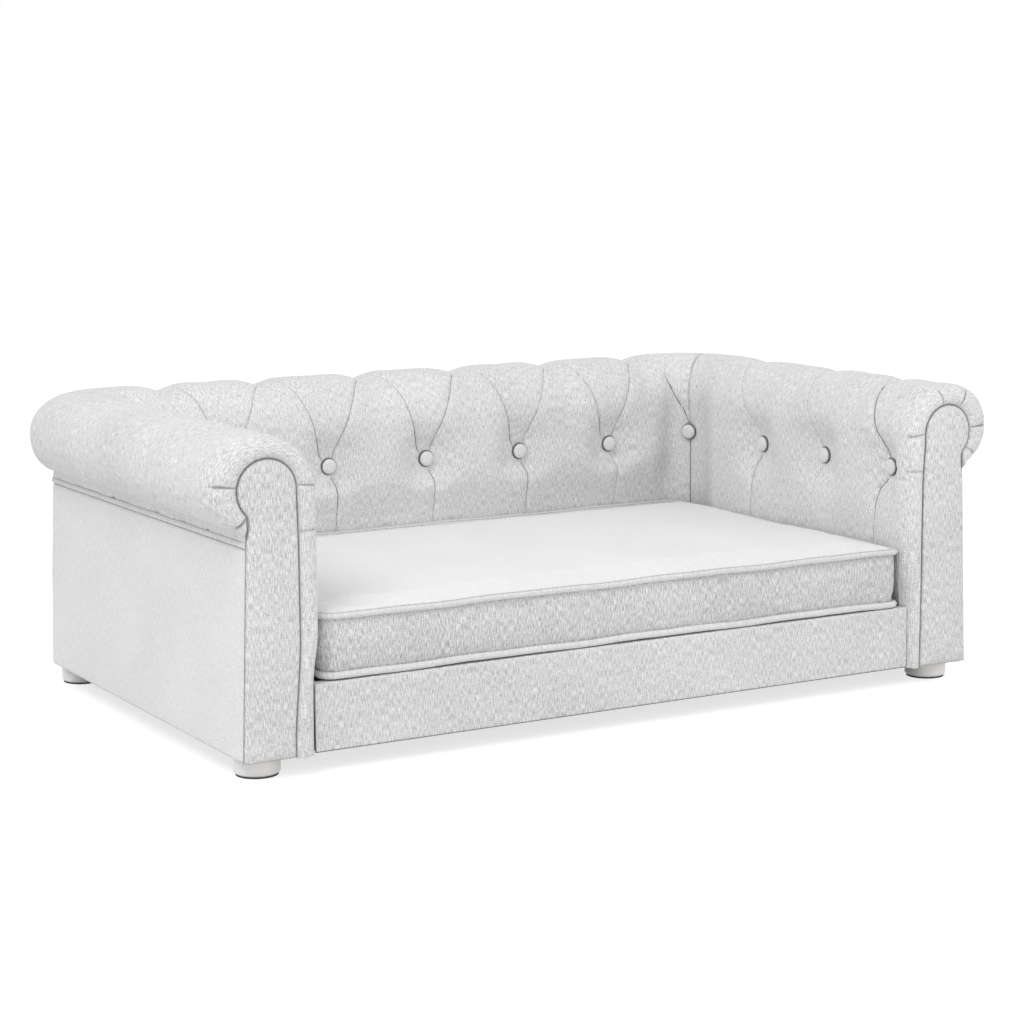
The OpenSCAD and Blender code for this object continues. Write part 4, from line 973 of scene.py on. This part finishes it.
def cushion_plan(out):
    """Rounded outline of the cushion, grown by out, its sides drawn in a little between the corners."""
    left, right = max(CUSHION_LEFT_R + out, 0.005), max(CUSHION_RIGHT_R + out, 0.005)
    r = max(CUSHION_REAR_R + out, 0.005)
    x, front, rear, draw = CUSHION_X + out, CUSHION_FRONT_Y - out, CUSHION_REAR_Y + out, 0.002

    def turn(cx, cy, start, r=r):
        angles = np.radians(np.linspace(start, start + 90, 9))
        return [(cx + r * math.cos(a), cy + r * math.sin(a)) for a in angles]

    def side(start, end, count, pull):
        share = np.linspace(0, 1, count)[1:-1]
        d = draw * np.sin(math.pi * share)
        return [(lerp(start[0], end[0], part) + pull[0] * by, lerp(start[1], end[1], part) + pull[1] * by)
                for part, by in zip(share, d)]

    return np.array(
        turn(-x + left, front + left, 180, left) + side((-x + left, front), (x - right, front), 110, (0, 1))
        + turn(x - right, front + right, 270, right) + side((x, front + right), (x, rear - r), 70, (-1, 0))
        + turn(x - r, rear - r, 0) + side((x - r, rear), (-x + r, rear), 110, (0, 0))
        + turn(-x + r, rear - r, 90) + side((-x, rear - r), (-x, front + left), 70, (1, 0)))


def seat_cushion():
    """A box cushion: its shell is remeshed, blown up as cloth held at its seams, then smoothed."""
    section = [
        (-0.010, 0.0925), (-0.004, 0.0945), (-0.0030, BOTTOM_WELT_Z), (-0.0004, 0.1045), (0.0002, 0.1285),
        (-0.0004, 0.1530), (-0.0030, TOP_WELT_Z), (-0.0045, 0.1618), (-0.010, 0.1630), (-0.030, 0.1642)]
    outlines = []
    for out, z in section:
        plan = cushion_plan(out)
        outlines.append(np.concatenate([plan, np.full((len(plan), 1), z)], 1))
    points = np.stack(outlines, 0)
    points = np.concatenate([points, points[:, :1]], 1)
    shell = sewn("seat_cushion_cloth", points, CUSHION_LINEN)
    let_go()
    shell.select_set(True)
    bpy.context.view_layer.objects.active = shell
    shell.data.remesh_voxel_size = CLOTH_SIZE
    bpy.ops.object.voxel_remesh()
    rest = places_of(shell.data)
    edge = np.minimum(CUSHION_X - np.abs(rest[:, 0]),
                      np.minimum(rest[:, 1] - CUSHION_FRONT_Y, CUSHION_REAR_Y - rest[:, 1]))
    held = ((edge < 0.007) & (np.abs(rest[:, 2] - TOP_WELT_Z) < 0.0042)) | (rest[:, 2] < 0.0990)
    group = shell.vertex_groups.new(name="seams")
    group.add(np.nonzero(held)[0].tolist(), 1.0, "REPLACE")
    cloth = shell.modifiers.new("stuffing", "CLOTH")
    cloth.settings.quality = 4
    cloth.settings.use_pressure = True
    cloth.settings.uniform_pressure_force = STUFFING_PRESSURE
    cloth.settings.effector_weights.gravity = 0
    cloth.settings.vertex_group_mass = "seams"
    cloth.settings.shrink_min = -0.012
    cloth.collision_settings.use_collision = False
    for step in range(1, 21):
        bpy.context.scene.frame_set(step)
    bpy.ops.object.modifier_apply(modifier=cloth.name)
    bpy.context.scene.frame_set(1)
    move = places_of(shell.data) - rest
    far = np.linalg.norm(move, axis=1)
    now = rest + move * np.minimum(1, LARGEST_PUFF / np.maximum(far, 1e-9))[:, None]
    now[:, 0] = np.clip(now[:, 0], -CUSHION_REACH_X, CUSHION_REACH_X)
    now[:, 1] = np.clip(now[:, 1], *CUSHION_REACH_Y)
    now[:, 2] = np.maximum(now[:, 2], CUSHION_FOOT_Z)
    # The crown falls away to the rear, so that the rear welt stands clear of it.
    rear_top = TOP_WELT_Z - 0.0007 + REAR_SLOPE * (CUSHION_REAR_Y - now[:, 1])
    over = (now[:, 2] > TOP_WELT_Z - 0.001) & (now[:, 2] > rear_top)
    now[over, 2] = rear_top[over]
    shell.data.vertices.foreach_set("co", now.ravel())
    shell.vertex_groups.clear()
    finer = shell.modifiers.new("finer", "SUBSURF")
    finer.levels = finer.render_levels = 1
    bpy.ops.object.modifier_apply(modifier=finer.name)
    bpy.ops.object.shade_smooth()
    return shell


def box_uv(piece):
    """Cloth coordinates by the way each face looks: plan on top and below, along and up on the sides."""
    mesh = piece.data
    if not mesh.uv_layers:
        mesh.uv_layers.new(name="UVMap")
    sizes = np.empty(len(mesh.polygons), dtype=np.int32)
    mesh.polygons.foreach_get("loop_total", sizes)
    owner = np.repeat(np.arange(len(sizes)), sizes)
    normal = np.empty(len(sizes) * 3)
    mesh.polygons.foreach_get("normal", normal)
    normal = np.abs(normal.reshape(-1, 3))[owner]
    place = places_of(mesh)[corners_of(mesh)]
    flat = normal[:, 2] > 0.6
    side = ~flat & (normal[:, 0] > normal[:, 1])
    u = np.where(side, place[:, 1], place[:, 0])
    v = np.where(flat, place[:, 1], place[:, 2])
    mesh.uv_layers.active.data.foreach_set("uv", np.stack([u, v], -1).ravel())


def give_boxing(piece):
    """Gives the boxing between the two welts the cloth with upright threads, in a darker tone that is painted
    shade.
    """
    piece.data.materials.append(SHADED_BOXING_LINEN)
    for face in piece.data.polygons:
        if abs(face.normal.z) < 0.75 and BOTTOM_WELT_Z - 0.002 < face.center.z < TOP_WELT_Z + 0.0005:
            face.material_index = 1


def cushion_welt_path(z, seed):
    plan = cushion_plan(0.0)
    run = way_along(plan)
    share = 2 * math.pi * run / (run[-1] + 0.002)
    wave = 0.0005 * np.sin(11 * share + seed) + 0.0003 * np.sin(23 * share + 2 * seed)
    return np.concatenate([plan, (z + wave)[:, None]], 1)


# Assembly of the cloth pieces
def dress(piece, body, slot, *nodes, fill=None):
    """Puts a piece on its body in place of its CAD nodes; slot and fill are not used."""
    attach(piece, body)
    if nodes:
        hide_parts(*nodes)
    return piece


# For each arm, from its front button: strength of the pleat above the button and of the fold below it
ARM_PLEATS = {
    "left": ((1.0, 1.0), (0.3, 0.4), (0.35, 1.0)),
    "right": ((1.0, 1.0), (0.25, 0.3), (0.3, 1.0)),
}
for side, pleats in ARM_PLEATS.items():
    dress(arm_pad(side, pleats), "frame", "tufted_linen", f"{side}_arm_pad", fill=0.85)
dress(back_pad(), "frame", "tufted_linen", "back_pad", fill=0.85)
for side in ("left", "right"):
    dress(facing(side), "frame", "panel_linen", f"{side}_facing", fill=0.9)
    side_cloth = cover(f"{side}_side_cloth", side_path(side), FOOT_Z, COVER_TOP_Z, COVER_T, SIDE_LINEN, 71,
                       front_round=0.0025)
    dress(side_cloth, "frame", "panel_linen", f"{side}_side_cover", fill=0.9)
back_cloth = cover("back_cover_cloth", back_path(), FOOT_Z, COVER_TOP_Z, COVER_T, SIDE_LINEN, 73)
dress(back_cloth, "frame", "panel_linen", "back_cover", fill=0.9)
dress(rail_cloth(), "frame", "panel_linen", "front_rail_cover", fill=0.9)
arm_path, back_roll_path = roll_welt_paths()
left_arm_path = [(-x, y, z) for x, y, z in arm_path]
for side, welt_path, seed in (("right", arm_path, 81), ("left", left_arm_path, 82)):
    roll_welt = welt(f"{side}_roll_welt", welt_path, ROLL_WELT_R, WELT_LINEN, seed)
    dress(roll_welt, "frame", "welt_linen", f"{side}_arm_welt")
roll_welt = welt("back_roll_welt", back_roll_path, ROLL_WELT_R, WELT_LINEN, 83)
dress(roll_welt, "frame", "welt_linen", "back_welt")

for number, x in enumerate(BACK_BUTTONS):
    button(f"back_button_{number + 1}", (x, INNER_Y + TUFT_DEPTH, BACK_BUTTON_Z), (0, -1, 0), number)
for side, way in (("left", -1), ("right", 1)):
    for number, y in enumerate(ARM_BUTTONS):
        seat = (way * (INNER_X + TUFT_DEPTH), y, ARM_BUTTON_Z)
        button(f"{side}_button_{number + 1}", seat, (-way, 0, 0), 9 + number)
    out, back = math.cos(CORNER_BUTTON_TURN), math.sin(CORNER_BUTTON_TURN)
    seat_x = way * (INNER_X - CORNER_INNER_R + CORNER_SEAT_R * out)
    seat_y = INNER_Y - CORNER_INNER_R + CORNER_SEAT_R * back
    button(f"{side}_corner_button", (seat_x, seat_y, ARM_BUTTON_Z), (-way * out, -back, 0), 15)

# Plan corners and heights of the two sheets, and places of the feet that the lower one leaves bare
DECK_LOW, DECK_HIGH, DECK_Z = (-0.4008, -0.2718), (0.4008, 0.2013), 0.0917
UNDER_LOW, UNDER_HIGH, UNDER_Z = (-0.4488, -0.2718), (0.4488, 0.2648), 0.0205
FEET = [(x, y) for x in (-0.433, 0.433) for y in (-0.255, 0.250)]
deck = flat_cloth("platform_sheet", DECK_LOW, DECK_HIGH, DECK_Z, UNDER_CLOTH, True)
dress(deck, "frame", "under_cloth", "platform_cloth")
under = flat_cloth("underside_sheet", UNDER_LOW, UNDER_HIGH, UNDER_Z, UNDER_CLOTH, False, FEET)
dress(under, "frame", "under_cloth", "dust_cover")

cushion = seat_cushion()
box_uv(cushion)
give_boxing(cushion)
dress(cushion, "cushion", "cushion_linen", "seat_cushion", fill=0.85)
CUSHION_WELTS = (
    ("cushion_top_welt", cushion_welt_path(TOP_WELT_Z, 1.0), 91, (60, 105, 150, 285)),
    ("cushion_bottom_welt", cushion_welt_path(BOTTOM_WELT_Z - 0.0016, 2.0), 92, (90, 285)),
)
for node, welt_path, seed, lines in CUSHION_WELTS:
    piping = welt(f"{node}_cloth", welt_path, CUSHION_WELT_R, WELT_LINEN, seed, ring=True, lines=lines)
    dress(piping, "cushion", "welt_linen", node)
dress(zip_strip(), "cushion", "zip_tape", "zip_tape")
teeth = dress(zip_teeth(), "cushion", "zip_metal")

# Finishes of the CAD nodes that stay
FINISHES = {
    "plywood": plain_finish(
        "birch_plywood", (0.62, 0.45, 0.27), (0.72, 0.55, 0.35), 9.0, 0.5, 0.7, stretch=(1, 8, 8)),
    "pine": plain_finish(
        "sawn_pine", (0.66, 0.47, 0.27), (0.78, 0.60, 0.38), 7.0, 0.6, 0.8, stretch=(1, 10, 10)),
    "foot_lacquer": plain_finish(
        "foot_lacquer", (0.74, 0.74, 0.74), (0.82, 0.82, 0.82), 60.0, 0.28, 0.42, coat=0.3),
    "glide_rubber": plain_finish(
        "glide_rubber", (0.03, 0.03, 0.03), (0.05, 0.05, 0.05), 200.0, 0.7, 0.9),
    "bolt_steel": plain_finish(
        "bolt_steel", (0.55, 0.55, 0.57), (0.66, 0.66, 0.68), 300.0, 0.25, 0.45, metal=1.0),
    "zip_metal": plain_finish(
        "zip_metal", (0.50, 0.50, 0.52), (0.62, 0.62, 0.64), 300.0, 0.25, 0.4, metal=1.0),
}
SLOT_OF = {
    "seat_platform": "plywood", "cross_bearers": "pine", "ledger_strips": "pine", "front_rail": "plywood",
    "foot_glides": "glide_rubber", "hanger_bolts": "bolt_steel", "zip_slider": "zip_metal",
}


def finish_of(name):
    """The finish of a wooden, metal or rubber CAD node."""
    if name in SLOT_OF:
        return FINISHES[SLOT_OF[name]]
    if name.endswith("_foot"):
        return FINISHES["foot_lacquer"]
    return FINISHES["pine" if "rail" in name or "block" in name else "plywood"]


teeth.data.materials.append(FINISHES["zip_metal"])
for name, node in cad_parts.items():
    if name in SLOT_OF or not ("pad" in name or "cloth" in name):
        for place in node.material_slots:
            place.material = finish_of(name)

# Floor, light and camera
let_go()
bpy.ops.mesh.primitive_plane_add(size=16, location=(0, 0, 0))
floor = bpy.context.object
floor.name = "studio_floor"


def seen_directly(tree):
    """1 where the camera, a reflection or glass shows a surface, and 0 where it only lights others."""
    path = put(tree, "ShaderNodeLightPath")
    seen = path.outputs["Is Camera Ray"]
    for ray in ("Is Glossy Ray", "Is Transmission Ray"):
        seen = put(tree, "ShaderNodeMath", {0: seen, 1: path.outputs[ray]}, operation="MAXIMUM").outputs[0]
    return seen


paper = bpy.data.materials.new("studio_paper")
paper.use_nodes = True
tree = paper.node_tree
tree.nodes.clear()
lit = put(tree, "ShaderNodeBsdfDiffuse", {"Color": (0.38, 0.38, 0.38, 1)})
glow = put(tree, "ShaderNodeEmission", {"Color": (1, 1, 1, 1), "Strength": 0.73})
seen = put(tree, "ShaderNodeAddShader", {0: lit.outputs[0], 1: glow.outputs[0]})
plain = put(tree, "ShaderNodeBsdfDiffuse", {"Color": (0.80, 0.80, 0.80, 1)})
mixed = put(tree, "ShaderNodeMixShader", {0: seen_directly(tree), 1: plain.outputs[0], 2: seen.outputs[0]})
tree.links.new(mixed.outputs[0], put(tree, "ShaderNodeOutputMaterial").inputs["Surface"])
floor.data.materials.append(paper)

world = bpy.data.worlds.new("studio")
bpy.context.scene.world = world
world.use_nodes = True
tree = world.node_tree
tree.nodes.clear()
ambient = put(tree, "ShaderNodeBackground", {"Color": (1, 1, 1, 1), "Strength": 0.83})
white = put(tree, "ShaderNodeBackground", {"Color": (1, 1, 1, 1), "Strength": 1.0})
mixed = put(tree, "ShaderNodeMixShader", {0: seen_directly(tree), 1: ambient.outputs[0], 2: white.outputs[0]})
tree.links.new(mixed.outputs[0], put(tree, "ShaderNodeOutputWorld").inputs["Surface"])


def soft_lamp(name, place, aim, size, power):
    let_go()
    bpy.ops.object.light_add(type="AREA", location=place)
    lamp = bpy.context.object
    lamp.name = name
    lamp.data.shape = "DISK"
    lamp.data.size = size
    lamp.data.energy = power
    lamp.rotation_euler = (Vector(aim) - Vector(place)).to_track_quat("-Z", "Y").to_euler()


soft_lamp("key_lamp", (-1.9, -1.3, 2.6), (0, 0, 0.15), 1.6, 33)
soft_lamp("fill_lamp", (1.6, -2.6, 1.4), (0, 0, 0.15), 2.2, 14)

# The camera stands at the photograph's viewing angle.
CAMERA_PLACE, CAMERA_TURNS = (-1.4133, -2.4750, 0.6406), (29.99, -8.81, -0.44)
yaw, pitch, roll = (math.radians(turn) for turn in CAMERA_TURNS)
forward = Vector((math.sin(yaw) * math.cos(pitch), math.cos(yaw) * math.cos(pitch), math.sin(pitch)))
level = Vector((math.cos(yaw), -math.sin(yaw), 0))
upward = level.cross(forward)
right = level * math.cos(roll) + upward * math.sin(roll)
top = upward * math.cos(roll) - level * math.sin(roll)
let_go()
bpy.ops.object.camera_add()
camera = bpy.context.object
camera.matrix_world = Matrix.Translation(CAMERA_PLACE) @ Matrix(
    ((right.x, top.x, -forward.x), (right.y, top.y, -forward.y), (right.z, top.z, -forward.z))).to_4x4()
camera.data.lens = 86.0
camera.data.sensor_width = 36.0
bpy.context.scene.camera = camera
bpy.context.scene.view_settings.view_transform = "Standard"

bpy.context.view_layer.update()
